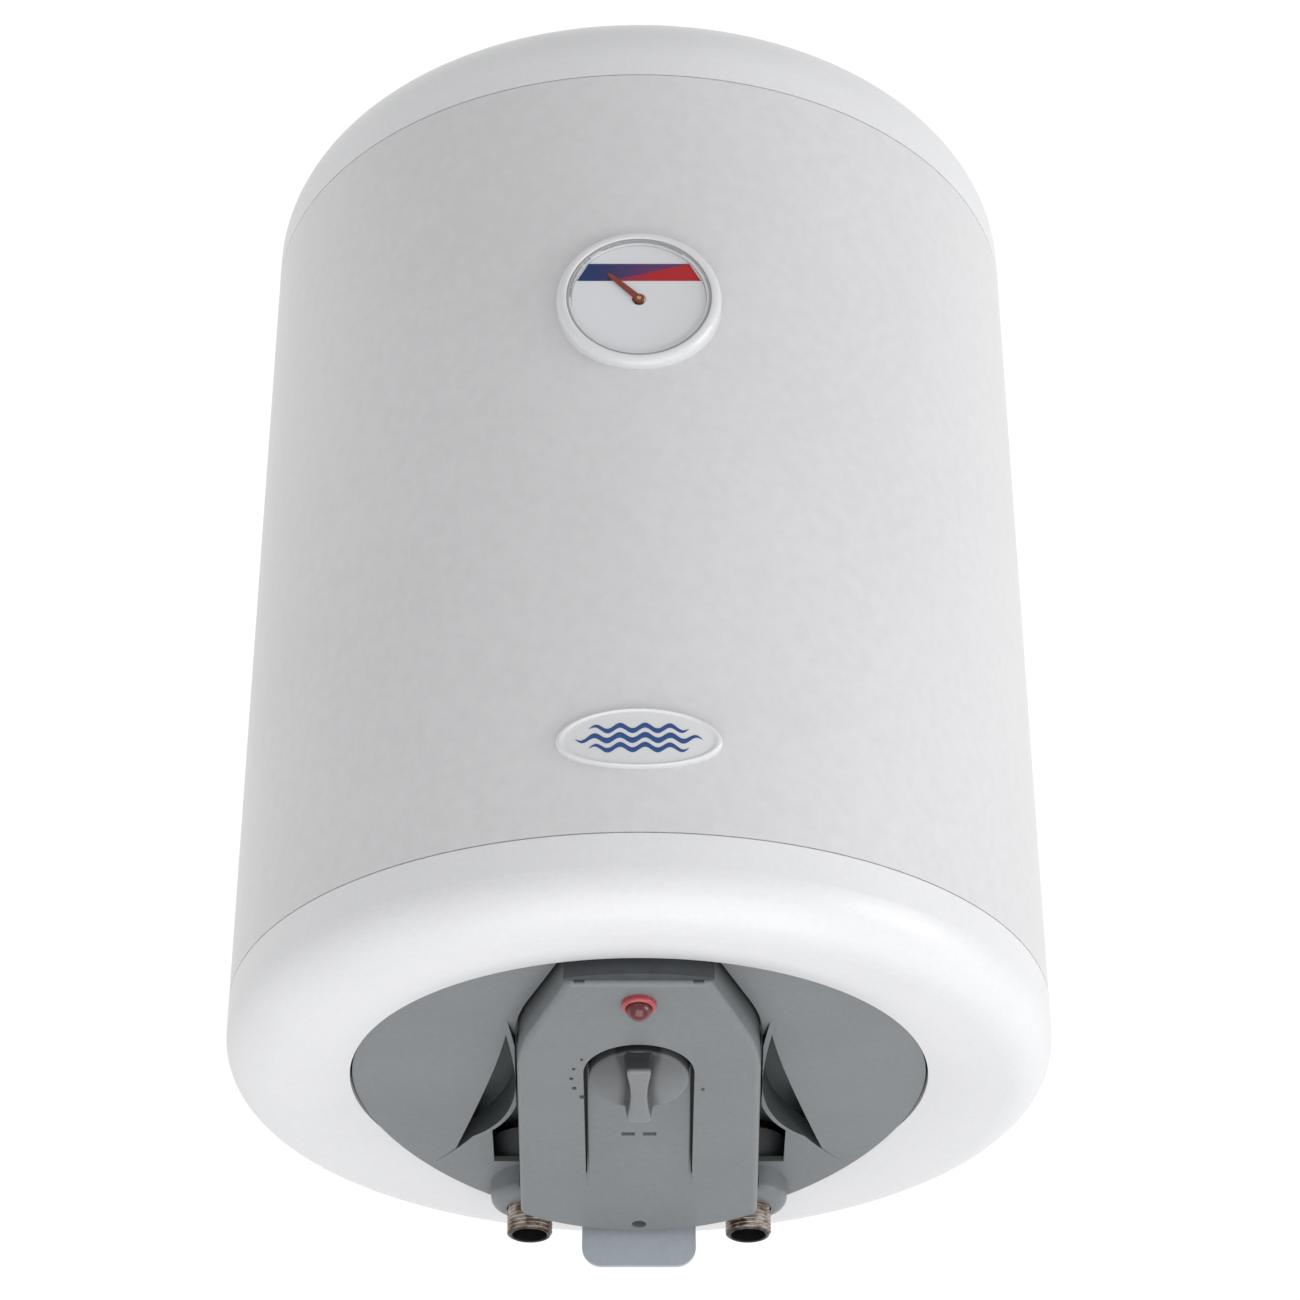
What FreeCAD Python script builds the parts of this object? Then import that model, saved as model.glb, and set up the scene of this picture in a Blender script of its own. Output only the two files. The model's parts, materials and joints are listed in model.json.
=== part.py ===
import FreeCAD, Part
import math
import os

# Wall-hung electric tank water heater.
#
# Everything is built about the upright axis of the casing, with z = 0 at the lower seam, the front at -Y
# and the wall at +Y. save() then moves each piece so that the origin is midway between the two wall bolts,
# in the plane of the wall. All lengths are in millimetres and all angles in degrees.

# Casing and caps
casing_radius = 180.0
casing_sheet = 0.8
body_height = 390.0
seam_gap = 0.6
cap_wall = 2.5
cap_lip = 12.0
lip_play = 0.1
top_side = 13.0
top_rounding = 38.0
top_sweep = 80.0
bottom_side = 15.0
bottom_rounding = 20.0
opening_radius = 126.0
opening_rise = 6.2
collar_height = 15.0

# Wall hanger
wall_gap = 12.0
bolt_height = 330.0
bolt_spacing = 150.0
bolt_hole_radius = 5.0
hanger_width = 190.0
hanger_height = 34.0
hanger_sheet = 3.0
hanger_corner = 8.0
lug_spacing = 80.0
lug_slot_play = 0.5
pad_height = 45.0
pad_radius = 13.0

# Tank and insulation
tank_radius = 156.0
tank_wall = 1.6
tank_foot = 60.0
tank_head = 380.0
tank_knuckle = 30.0
tank_sweep = 75.0
foam_base = -8.0
foam_play = 0.3
service_well = 8.0

# Flange and what it carries
flange_radius = 46.0
flange_bore = 32.0
flange_face = -2.0
gasket_thickness = 2.0
plate_thickness = 3.0
stud_count = 5
stud_circle = 39.0
stud_radius = 3.0
stud_hole = 3.3
stud_end = -18.0
nut_height = 5.0
nut_flats = 10.0
element_half = 18.0
element_radius = 4.25
element_top = 230.0
element_foot = 4.0
terminal_radius = 2.0
terminal_length = 8.0
pocket_y = -17.0
pocket_radius = 6.5
pocket_wall = 0.9
pocket_top = 210.0
bulb_radius = 2.4
bulb_base = 90.0
bulb_length = 90.0
anode_y = 17.0
anode_radius = 10.0
anode_top = 250.0
anode_stud_radius = 2.5
anode_nut_flats = 8.0

# Water pipes: G 1/2 nipples, 100 mm apart
pipe_x = 50.0
pipe_y = 97.0
thread_radius = 10.48
thread_length = 13.0
nipple_radius = 10.0
nipple_bore = 8.0
nipple_end = -62.0
nipple_top = 30.0
dip_radius = 7.0
dip_bore = 5.8
hot_tube_top = 404.0
cold_tube_top = 62.0

# Cover ring: the fixed grey dish round the service cover
ring_radius = 125.0
ring_wall = 2.5
dish_level = -27.0
dish_bend_y = -5.0
dish_back_radius = 497.0
dish_front_radius = 1260.0
dish_reach = 135.0
rim_top = -12.0
rib_circle_x = 196.0
rib_circle_y = -21.6
rib_circle_radius = 144.0
rib_thickness = 2.2
pipe_collar_radius = 18.0
pipe_collar_end = -49.0
pipe_collar_rounding = 6.0
seal_half = 31.0
seal_back_y = -116.2
seal_low = -34.0

# Service cover: the wedge-shaped grey console
cover_front_y = -115.7
cover_front_half = 29.5
cover_bend_half = 51.3
cover_bend_y = -62.0
cover_bend_radius = 90.0
cover_back_half = 53.5
cover_lip_radius = 95.4
cover_wall = 2.5
cover_top = -14.0
cover_gap = 1.2
cover_corner = 4.0
cover_edge_rounding = 3.0
face_front_z = -36.0
face_slope = 0.12
cover_screw_y = 87.0
screw_head_radius = 3.0
screw_shank_radius = 2.0
screw_head_depth = 5.0
screw_bar_top = -26.0

# Knob and its recess in the console
knob_y = -42.0
recess_y = -45.0
recess_radius = 23.5
recess_depth = 8.0
recess_fade_y = 52.0
recess_wall = 2.2
knob_radius = 21.2
knob_lift = 0.6
knob_disc = 7.4
grip_height = 9.0
grip_end_half = 7.2
grip_waist_half = 5.4
grip_half_length = 20.0
grip_crown = 0.7
spindle_radius = 3.0
running_play = 0.05
mark_circle = 28.6

# Thermostat and safety cut-out
thermostat_low = 5.0
thermostat_back = -23.2
cutout_half = 13.0
cutout_low = -42.0
cutout_y = 5.0
cutout_front = -8.0
button_radius = 2.8
button_collar = 3.5
button_reach = 2.6
capillary_radius = 0.9

# Pilot lamp
lamp_y = -101.7
lamp_radius = 7.2
lamp_ring_height = 2.8
lamp_ring_rounding = 2.0
lamp_ring_bore = 5.4
lamp_neck = 6.3
lamp_hole = 6.4
lamp_lens_radius = 5.35
lamp_lens_rounding = 5.2
lamp_dome_height = 7.8
lamp_holder = 4.9

# Terminal block and leads
block_x = (24.0, 44.0)
block_y = (18.0, 48.0)
block_z = (-46.0, -32.0)
terminal_pitch = 9.0
lead_radius = 1.2

# Cable outlet
hood_half = 26.0
hood_front_y = 98.6
hood_back_y = 119.0
hood_wall = 2.2
hood_end = -75.6
hood_corner = 9.0
hood_side_end = -66.0
hood_side_slope = 0.75
gland_y = 111.8
gland_radius = 7.2
gland_bore = 4.5
gland_low = -60.0
gland_high = -30.0

# Thermometer on the front
gauge_z = 260.5
bezel_radius = 36.0
bezel_bore = 31.5
bezel_front = -184.8
bezel_rounding = 3.6
lens_radius = 31.0
lens_thickness = 0.8
lens_y = -183.6
dial_y = -181.5
dial_sheet = 0.5
scale_sheet = 0.2
gauge_hole_radius = 7.0
gauge_stem_radius = 5.0
gauge_stem_neck = 3.0
gauge_spindle_radius = 1.0
pointer_y = -183.0
pointer_sheet = 0.5
pointer_rest = 45.0
pointer_length = 19.5

# Badge
badge_z = 41.7
badge_half_width = 33.7
badge_half_height = 13.4
badge_thickness = 2.0
badge_rim_width = 2.6
badge_rim_height = 0.9
stroke_half = 0.95
stroke_height = 0.3

# Heights and slopes that follow from the others
plate_top = flange_face - gasket_thickness
plate_bottom = plate_top - plate_thickness
top_slope = math.radians(90 - top_sweep)
top_knuckle_r = casing_radius - top_rounding + top_rounding * math.sin(top_slope)
top_knuckle_z = body_height + top_side + top_rounding * math.cos(top_slope)
top_cap_crown = top_knuckle_z + top_knuckle_r / math.sin(top_slope) * (1 - math.cos(top_slope))
floor_slope = face_slope + recess_depth / (recess_fade_y - (recess_y - recess_radius))
floor_tilt = math.degrees(math.atan(floor_slope))
fade_z = face_front_z - face_slope * (recess_fade_y - cover_front_y)
knob_floor_z = fade_z + floor_slope * (recess_fade_y - knob_y)

UP = FreeCAD.Vector(0, 0, 1)
DOWN = FreeCAD.Vector(0, 0, -1)
BACK = FreeCAD.Vector(0, 1, 0)
ORIGIN = FreeCAD.Vector(0, 0, 0)


def point(x, y, z):
    return FreeCAD.Vector(x, y, z)


def cylinder(radius, low, high, x=0.0, y=0.0):
    """An upright cylinder between two heights."""
    return Part.makeCylinder(radius, high - low, point(x, y, low), UP)


def tube(outer, inner, low, high, x=0.0, y=0.0):
    return cylinder(outer, low, high, x, y).cut(cylinder(inner, low - 1, high + 1, x, y))


def box(x_range, y_range, z_range):
    size = [high - low for low, high in (x_range, y_range, z_range)]
    return Part.makeBox(*size, point(x_range[0], y_range[0], z_range[0]))


def disc(radius, front, back, z=gauge_z, x=0.0):
    """A cylinder lying along Y, between a front and a back plane."""
    return Part.makeCylinder(radius, back - front, point(x, front, z), BACK)


def path(start, *steps):
    """Edges from a start point: a step is an end point, or a pair of a mid and an end point for an arc."""
    edges = []
    here = start
    for step in steps:
        if isinstance(step, tuple):
            middle, end = step
            edges.append(Part.Arc(here, middle, end).toShape())
        else:
            end = step
            edges.append(Part.makeLine(here, end))
        here = end
    return edges


def face_of(start, *steps):
    """A flat face inside a path, closed with a line where the path doesn't end at its start."""
    edges = path(start, *steps)
    end = edges[-1].Vertexes[-1].Point
    if end.distanceToPoint(start) > 1e-6:
        edges.append(Part.makeLine(end, start))
    return Part.Face(Part.Wire(edges))


def turned(start, *steps):
    """A solid of revolution about the casing's axis from a profile in the XZ plane."""
    return face_of(start, *steps).revolve(ORIGIN, UP, 360)


def profile_point(radius, z):
    return point(radius, 0, z)


def arc_points(center_r, center_z, radius, start, end):
    """The mid and end points of a profile arc, from its centre, radius and two angles."""
    def at(angle):
        turn = math.radians(angle)
        return profile_point(center_r + radius * math.cos(turn), center_z + radius * math.sin(turn))
    return at((start + end) / 2), at(end)


def merged(*shapes):
    """One solid from pieces that touch or overlap."""
    whole = shapes[0]
    for shape in shapes[1:]:
        whole = whole.fuse(shape)
    return whole.removeSplitter()


def mirrored(shape):
    """The same shape on the other side of the middle plane."""
    return shape.mirror(ORIGIN, point(1, 0, 0))


def hexagon_nut(x, y, low, high, flats, bore):
    """A hexagon nut with its hole."""
    reach = flats / math.sqrt(3)
    turns = [math.radians(60 * k) for k in range(6)]
    corners = [point(x + reach * math.cos(turn), y + reach * math.sin(turn), low)
               for turn in turns]
    body = face_of(*corners).extrude(point(0, 0, high - low))
    return body.cut(cylinder(bore, low - 1, high + 1, x, y))


def tangent_arc(before, corner, after, radius):
    """Start, middle and end of the arc that rounds a corner between two straight runs."""
    arriving = (corner - before).normalize()
    leaving = (after - corner).normalize()
    half_turn = arriving.getAngle(leaving) / 2
    setback = radius * math.tan(half_turn)
    inward = (leaving - arriving).normalize()
    middle = corner + inward * (radius / math.cos(half_turn) - radius)
    return corner - arriving * setback, middle, corner + leaving * setback


def flipped(place):
    """The same point on the other side of the middle plane."""
    return point(-place.x, place.y, place.z)


def lead(points, radius, bend):
    """A round wire or thin tube along straight runs joined by tangent arcs."""
    edges = []
    here = points[0]
    for corner, after in zip(points[1:-1], points[2:]):
        first, middle, last = tangent_arc(here, corner, after, bend)
        edges.append(Part.makeLine(here, first))
        edges.append(Part.Arc(first, middle, last).toShape())
        here = last
    edges.append(Part.makeLine(here, points[-1]))
    route = Part.Wire(edges)
    start_direction = (points[1] - points[0]).normalize()
    ring = Part.Wire(Part.makeCircle(radius, points[0], start_direction))
    return route.makePipeShell([ring], True, False)


def save(name, *shapes):
    """Write one node: its solids, moved to the wall bolts' origin."""
    shift = point(0, -(casing_radius + wall_gap), -bolt_height)
    moved = [shape.translated(shift) for shape in shapes]
    node = moved[0] if len(moved) == 1 else Part.makeCompound(moved)
    node.exportStep("parts/" + name + ".step")


# ---------------------------------------------------------------- outer shells

def outer_casing():
    """Rolled steel sheet with a hole for the thermometer and two slots for the hanger's lugs."""
    low = seam_gap / 2
    high = body_height - seam_gap / 2
    sheet = tube(casing_radius, casing_radius - casing_sheet, low, high)
    sheet = sheet.cut(disc(gauge_hole_radius, -casing_radius - 5, -casing_radius + 15))
    for side in (-1, 1):
        sheet = sheet.cut(lug_block(side, lug_slot_play))
    return sheet


def dome_points(radius, center):
    """The mid and top points of the top cap's dome, from its radius and its centre's height."""
    middle = profile_point(radius * math.sin(top_slope / 2), center + radius * math.cos(top_slope / 2))
    return middle, profile_point(0, center + radius)


def top_cap():
    """Moulded cap: a lip inside the casing, a short straight side, a wide rounding and a shallow dome."""
    inner_radius = casing_radius - cap_wall
    lip_radius = casing_radius - casing_sheet - lip_play
    edge = body_height + seam_gap / 2
    turn_z = body_height + top_side
    center_r = casing_radius - top_rounding
    inner_rounding = top_rounding - cap_wall
    knuckle = arc_points(center_r, turn_z, top_rounding, 0, top_sweep)
    inner_knuckle = arc_points(center_r, turn_z, inner_rounding, 0, top_sweep)
    dome_radius = top_knuckle_r / math.sin(top_slope)
    dome_center = top_cap_crown - dome_radius
    dome_mid, dome_top = dome_points(dome_radius, dome_center)
    inner_mid, inner_top = dome_points(dome_radius - cap_wall, dome_center)
    return turned(
        profile_point(lip_radius, body_height - cap_lip),
        profile_point(lip_radius, edge),
        profile_point(casing_radius, edge),
        profile_point(casing_radius, turn_z),
        knuckle,
        (dome_mid, dome_top),
        inner_top,
        (inner_mid, inner_knuckle[1]),
        (inner_knuckle[0], profile_point(inner_radius, turn_z)),
        profile_point(lip_radius - cap_wall, edge),
        profile_point(lip_radius - cap_wall, body_height - cap_lip))


def bottom_cap():
    """Moulded cap: a lip in the casing, a rounded lower edge and a round opening with a turned-up collar."""
    lip_radius = casing_radius - casing_sheet - lip_play
    edge = -seam_gap / 2
    turn_z = -bottom_side
    center_r = casing_radius - bottom_rounding
    lowest = turn_z - bottom_rounding
    span = center_r - opening_radius
    sweep_radius = (span ** 2 + opening_rise ** 2) / (2 * opening_rise)
    sweep_center = lowest + sweep_radius
    sweep = math.degrees(math.asin(span / sweep_radius))
    under = arc_points(center_r, sweep_center, sweep_radius, 270, 270 - sweep)
    inner_span = center_r - opening_radius - cap_wall
    inner_sweep_radius = sweep_radius - cap_wall
    inner_sweep = math.degrees(math.asin(inner_span / inner_sweep_radius))
    inner_start = arc_points(center_r, sweep_center, inner_sweep_radius, 270, 270 - inner_sweep)[1]
    inner_under = arc_points(center_r, sweep_center, inner_sweep_radius, 270 - inner_sweep, 270)
    return turned(
        profile_point(lip_radius, cap_lip),
        profile_point(lip_radius, edge),
        profile_point(casing_radius, edge),
        profile_point(casing_radius, turn_z),
        arc_points(center_r, turn_z, bottom_rounding, 360, 270),
        under,
        profile_point(opening_radius, under[1].z + collar_height),
        profile_point(opening_radius + cap_wall, under[1].z + collar_height),
        inner_start,
        inner_under,
        arc_points(center_r, turn_z, bottom_rounding - cap_wall, 270, 360),
        profile_point(lip_radius - cap_wall, edge),
        profile_point(lip_radius - cap_wall, cap_lip))


# ---------------------------------------------------------------- tank and insulation

def end_profile(radius, knuckle):
    """Profile points of a pressed end above z = 0: a rounded knuckle and a shallow crown."""
    center_r = radius - knuckle
    turn = arc_points(center_r, 0, knuckle, 0, tank_sweep)
    slope = math.radians(90 - tank_sweep)
    crown_radius = turn[1].x / math.sin(slope)
    crown_center = turn[1].z - crown_radius * math.cos(slope)
    middle_height = crown_center + crown_radius * math.cos(slope / 2)
    middle = profile_point(crown_radius * math.sin(slope / 2), middle_height)
    top = profile_point(0, crown_center + crown_radius)
    return turn, (middle, top)


def end_volume(radius, knuckle):
    """The solid volume under a pressed end."""
    turn, crown = end_profile(radius, knuckle)
    return turned(profile_point(radius, 0), turn, crown, ORIGIN)


def pressed_end():
    """One pressed tank end standing on z = 0."""
    outer = end_volume(tank_radius, tank_knuckle)
    inner = end_volume(tank_radius - tank_wall, tank_knuckle - tank_wall)
    return outer.cut(inner)


def upper(shape):
    return shape.translated(point(0, 0, tank_head))


def lower(shape):
    return shape.mirror(ORIGIN, UP).translated(point(0, 0, tank_foot))


def tank_volume():
    """The whole outside of the tank as one solid."""
    end = end_volume(tank_radius, tank_knuckle)
    return merged(cylinder(tank_radius, tank_foot, tank_head), upper(end), lower(end))


def tank_bottom_end():
    end = lower(pressed_end())
    end = end.cut(cylinder(flange_bore, -20, tank_foot))
    for side in (-1, 1):
        end = end.cut(cylinder(nipple_radius, -20, tank_foot, side * pipe_x, pipe_y))
    return end


def insulation_foam():
    """Rigid foam between the tank and the outer shells, with a service well below the flange."""
    in_casing = casing_radius - casing_sheet - foam_play
    in_lips = in_casing - lip_play - cap_wall
    top_start = body_height - cap_lip - foam_play
    top_z = body_height + top_side
    rounding = top_rounding - cap_wall - foam_play - 1.0
    crown = top_cap_crown - cap_wall - foam_play
    body = merged(
        cylinder(in_lips, foam_base, top_z),
        cylinder(in_casing, cap_lip + foam_play, top_start),
        turned(profile_point(0, top_z),
               profile_point(in_lips, top_z),
               arc_points(in_lips - rounding, top_z, rounding, 0, top_sweep),
               profile_point(0, crown)))
    body = body.cut(tank_volume())
    body = body.cut(cylinder(flange_radius + service_well, -20, tank_foot))
    for side in (-1, 1):
        body = body.cut(cylinder(nipple_radius, -20, tank_foot, side * pipe_x, pipe_y))
        body = body.cut(lug_block(side, 0.0))
    return body.cut(disc(gauge_stem_radius, -casing_radius, -tank_radius + 2))


# ---------------------------------------------------------------- flange

def around_flange():
    """Stud places on the flange."""
    turns = [math.radians(90 + 360 * k / stud_count) for k in range(stud_count)]
    return [(stud_circle * math.cos(turn), stud_circle * math.sin(turn)) for turn in turns]


def flange_neck():
    return tube(flange_radius, flange_bore, flange_face, 20.0).cut(tank_volume())


def flange_gasket():
    ring = tube(flange_radius - 1, flange_bore + 1, flange_face - gasket_thickness, flange_face)
    for x, y in around_flange():
        ring = ring.cut(cylinder(stud_hole, -20, 20, x, y))
    return ring


def flange_plate():
    """The round plate that closes the tank and carries the element, the pocket and the anode."""
    plate = cylinder(flange_radius, plate_bottom, plate_top)
    for x, y in around_flange():
        plate = plate.cut(cylinder(stud_hole, -20, 20, x, y))
    for side in (-1, 1):
        plate = plate.cut(cylinder(element_radius, -20, 20, side * element_half, 0))
    plate = plate.cut(cylinder(pocket_radius, -20, 20, 0, pocket_y))
    return plate.cut(cylinder(anode_stud_radius, -20, 20, 0, anode_y))


def flange_studs():
    return [cylinder(stud_radius, stud_end, flange_face, x, y) for x, y in around_flange()]


def flange_nuts():
    low = plate_bottom - nut_height
    return [hexagon_nut(x, y, low, plate_bottom, nut_flats, stud_radius) for x, y in around_flange()]


def heating_element():
    """A hairpin of sheathed tube."""
    low = plate_bottom - element_foot
    legs = [cylinder(element_radius, low, element_top, side * element_half, 0) for side in (-1, 1)]
    section = Part.Face(Part.Wire(Part.makeCircle(element_radius, point(element_half, 0, element_top), UP)))
    bend = section.revolve(point(0, 0, element_top), point(0, -1, 0), 180)
    return merged(legs[0], legs[1], bend)


def element_terminals():
    high = plate_bottom - element_foot
    return [cylinder(terminal_radius, high - terminal_length, high, side * element_half, 0)
            for side in (-1, 1)]


def thermometer_pocket():
    """A tube closed at its top, for the two temperature bulbs."""
    outer = cylinder(pocket_radius, plate_bottom - 2, pocket_top, 0, pocket_y)
    return outer.cut(cylinder(pocket_radius - pocket_wall, -20, pocket_top - 2, 0, pocket_y))


def bulb(x):
    return cylinder(bulb_radius, bulb_base, bulb_base + bulb_length, x, pocket_y)


def anode_rod():
    return cylinder(anode_radius, plate_top + 4, anode_top, 0, anode_y)


def anode_stud():
    """The stud and nut that hold the anode rod and join it to the plate."""
    stud = cylinder(anode_stud_radius, plate_bottom - 8, plate_top + 4, 0, anode_y)
    nut = hexagon_nut(0, anode_y, plate_bottom - 4, plate_bottom, anode_nut_flats, anode_stud_radius)
    return merged(stud, nut)


# ---------------------------------------------------------------- water pipes

def nipple(side):
    """A nipple welded into the tank's lower end; its thread is a plain cylinder of the thread's diameter."""
    thread = tube(thread_radius, nipple_bore, nipple_end, nipple_end + thread_length, side * pipe_x, pipe_y)
    stem = tube(nipple_radius, nipple_bore, nipple_end + thread_length, nipple_top, side * pipe_x, pipe_y)
    return merged(thread, stem)


def dip_tube(side, high):
    """A plastic tube hung inside the nipple on a small shoulder."""
    stem = tube(dip_radius, dip_bore, 10.0, high, side * pipe_x, pipe_y)
    shoulder = tube(nipple_bore, dip_bore, 10.0, 16.0, side * pipe_x, pipe_y)
    return merged(stem, shoulder)


def inlet_diffuser():
    """A slotted cap that spreads the cold water over the tank's floor."""
    cap = cylinder(dip_radius + 3, cold_tube_top - 14, cold_tube_top + 4, pipe_x, pipe_y)
    cap = cap.cut(cylinder(dip_radius, cold_tube_top - 20, cold_tube_top, pipe_x, pipe_y))
    for turn in (0, 60, 120):
        slot = box((-20, 20), (-2, 2), (cold_tube_top - 14, cold_tube_top - 4))
        slot.rotate(ORIGIN, UP, turn)
        cap = cap.cut(slot.translated(point(pipe_x, pipe_y, 0)))
    return cap


# ---------------------------------------------------------------- service cover (console)

def face_z(y):
    """Height of the console's tilted face at a depth y."""
    return face_front_z - face_slope * (y - cover_front_y)


def cover_plan():
    """Outline of the console seen from below, in the plane z = 0: straight sides with one soft bend each."""
    corner_y = math.sqrt(cover_lip_radius ** 2 - cover_back_half ** 2)
    front = point(cover_front_half, cover_front_y, 0)
    bend = point(cover_bend_half, cover_bend_y, 0)
    corner = point(cover_back_half, corner_y, 0)
    first, middle, last = tangent_arc(front, bend, corner, cover_bend_radius)
    return face_of(front, first, (middle, last), corner,
                   (point(0, cover_lip_radius, 0), flipped(corner)),
                   flipped(last), (flipped(middle), flipped(first)), flipped(front))


def below_plane(slope_angle, through):
    """A big block that fills everything below a plane tilted about X."""
    block = box((-300, 300), (-300, 300), (-200, 0))
    block.rotate(ORIGIN, point(1, 0, 0), slope_angle)
    return block.translated(through)


def cover_solid(inset):
    """The console as a full solid, made smaller all round by an inset."""
    plan = cover_plan()
    if inset:
        plan = plan.makeOffset2D(-inset)
    top = cover_top + (10 if inset else 0)
    solid = plan.extrude(point(0, 0, -90)).translated(point(0, 0, top))
    tilt = -math.degrees(math.atan(face_slope))
    lift = inset / math.cos(math.radians(tilt))
    return solid.cut(below_plane(tilt, point(0, cover_front_y, face_front_z + lift)))


def rounded_cover():
    """The console's outside with its face edges and upright corners rounded."""
    solid = cover_solid(0)
    corners = [edge for edge in solid.Edges if is_upright(edge) and is_corner(edge)]
    solid = solid.makeFillet(cover_corner, corners)
    around_face = [edge for edge in solid.Edges if on_face(edge)]
    return solid.makeFillet(cover_edge_rounding, around_face)


def is_upright(edge):
    low, high = edge.BoundBox.ZMin, edge.BoundBox.ZMax
    return edge.BoundBox.XLength < 0.01 and edge.BoundBox.YLength < 0.01 and high - low > 5


def is_corner(edge):
    """Only the two front and the two back corners of the console."""
    y = edge.BoundBox.YMin
    return y < cover_front_y + 1 or y > recess_fade_y


def on_face(edge):
    """True for an edge that lies in the console's tilted face."""
    return all(abs(vertex.Z - face_z(vertex.Y)) < 0.05 for vertex in edge.Vertexes)


def in_floor(shape):
    """Move a shape from the recess floor's own frame, where the knob's axis is Z, into place."""
    placed = shape.copy()
    placed.rotate(ORIGIN, point(1, 0, 0), -floor_tilt)
    return placed.translated(point(0, knob_y, knob_floor_z))


def arch(radius, low, high):
    """A prism with a round front end and two straight sides, in the recess floor's frame."""
    length = 140.0
    middle = recess_y - knob_y
    outline = face_of(point(-radius, length, low),
                      point(-radius, middle, low),
                      (point(0, middle - radius, low), point(radius, middle, low)),
                      point(radius, length, low))
    return outline.extrude(point(0, 0, high - low))


def knob_gap():
    """The open crescent between the recess's round end and the knob, in the recess floor's frame."""
    gap = arch(recess_radius, -5.0, 5.0).cut(cylinder(knob_radius - 1.0, -6.0, 6.0))
    return gap.common(box((-40, 40), (-40, 2), (-6, 6)))


def side_groove():
    """The tapering groove along the recess's right-hand side, in the recess floor's frame."""
    outline = face_of(point(recess_radius - 1.9, 0, -1.0), point(recess_radius, 0, -1.0),
                      point(recess_radius, 84, -1.0), point(recess_radius - 0.5, 84, -1.0))
    return outline.extrude(point(0, 0, 2.6))


def on_console(shape, y):
    """Move a shape from the console face's own frame to the face at depth y."""
    placed = shape.copy()
    placed.rotate(ORIGIN, point(1, 0, 0), -math.degrees(math.atan(face_slope)))
    return placed.translated(point(0, y, face_z(y)))


def service_cover():
    """A hollow wedge with a recess for the knob, a lamp hole, a screw seat and posts for the cut-out."""
    outside = rounded_cover()
    shell = outside.cut(cover_solid(cover_wall))
    backing = in_floor(arch(recess_radius + recess_wall, -60.0, recess_wall)).common(outside)
    face = face_z(cover_screw_y)
    seat_radius = screw_head_radius + 2
    seat = cylinder(seat_radius, face - 10, face + 12, 0, cover_screw_y).common(outside)
    posts = [box((x - 3, x + 3), (2, 8), (face_z(5) - 5, cutout_low)).common(outside)
             for x in (-cutout_half + 3, cutout_half - 3)]
    cover = merged(shell, backing, seat, *posts)
    cover = cover.cut(in_floor(arch(recess_radius, -60.0, 0.0)))
    cover = cover.cut(in_floor(merged(knob_gap(), side_groove(), mirrored(side_groove()))))
    cover = cover.cut(in_floor(cylinder(spindle_radius + 1.2, -5, 10)))
    cover = cover.cut(on_console(cylinder(lamp_hole, -10, 12), lamp_y))
    cover = cover.cut(cylinder(screw_shank_radius + 0.3, -90, 0, 0, cover_screw_y))
    cover = cover.cut(cylinder(screw_head_radius + 0.3, -90, face + 8, 0, cover_screw_y))
    for x in (-4.7, 4.7):
        cover = cover.cut(box((x - 2.9, x + 2.9), (8.8, 11.3), (-60, -40)))
    return cover


def cover_screw():
    """A pan-head screw sunk in the console's lip, going up into the screw bar."""
    head_low = face_z(cover_screw_y) + screw_head_depth
    head = cylinder(screw_head_radius, head_low, head_low + 3, 0, cover_screw_y)
    shank = cylinder(screw_shank_radius, head_low + 3, screw_bar_top, 0, cover_screw_y)
    slot = box((-3, 3), (cover_screw_y - 0.5, cover_screw_y + 0.5), (head_low - 1, head_low + 1.2))
    return merged(head, shank).cut(slot)


# ---------------------------------------------------------------- cover ring (fixed grey dish)

def dish_z(y, drop=0.0):
    """Height of the dish's lower surface at a depth y: two arcs that meet level at the bend."""
    along = y - dish_bend_y
    if along < 0:
        return dish_level - drop + dish_front_radius - math.sqrt(dish_front_radius ** 2 - along ** 2)
    return dish_level - drop - dish_back_radius + math.sqrt(dish_back_radius ** 2 - along ** 2)


def dish_slab(low_drop, high_z):
    """Everything between the dish's surface, lowered by low_drop, and a level plane."""
    def at(y):
        return point(-dish_reach, y, dish_z(y, low_drop))

    outline = face_of(point(-dish_reach, -dish_reach, high_z),
                      at(-dish_reach),
                      (at((dish_bend_y - dish_reach) / 2), at(dish_bend_y)),
                      (at((dish_bend_y + dish_reach) / 2), at(dish_reach)),
                      point(-dish_reach, dish_reach, high_z))
    return outline.extrude(point(2 * dish_reach, 0, 0))


def rib_disc(radius, low, high):
    """The upright cylinder whose edge carries the right-hand rib."""
    return cylinder(radius, low, high, rib_circle_x, rib_circle_y)


def outboard_slot():
    """The open crescent between the right-hand rib and its wing, widening towards the pipe."""
    inside = rib_disc(rib_circle_radius - rib_thickness / 2, -80, 0)
    outline = face_of(point(55.5, -52, -80),
                      (point(66.5, 5, -80), point(89, 84, -80)),
                      point(66, 84, -80),
                      point(66, 62, -80),
                      point(40, 62, -80),
                      point(40, -52, -80))
    return inside.common(outline.extrude(point(0, 0, 80)))


def inboard_slot():
    """The open gap between the right-hand rib and the console's side."""
    gap = box((40, 66), (-30, 77), (-100, 0))
    return gap.cut(rib_disc(rib_circle_radius + rib_thickness / 2, -101, 1))


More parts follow.
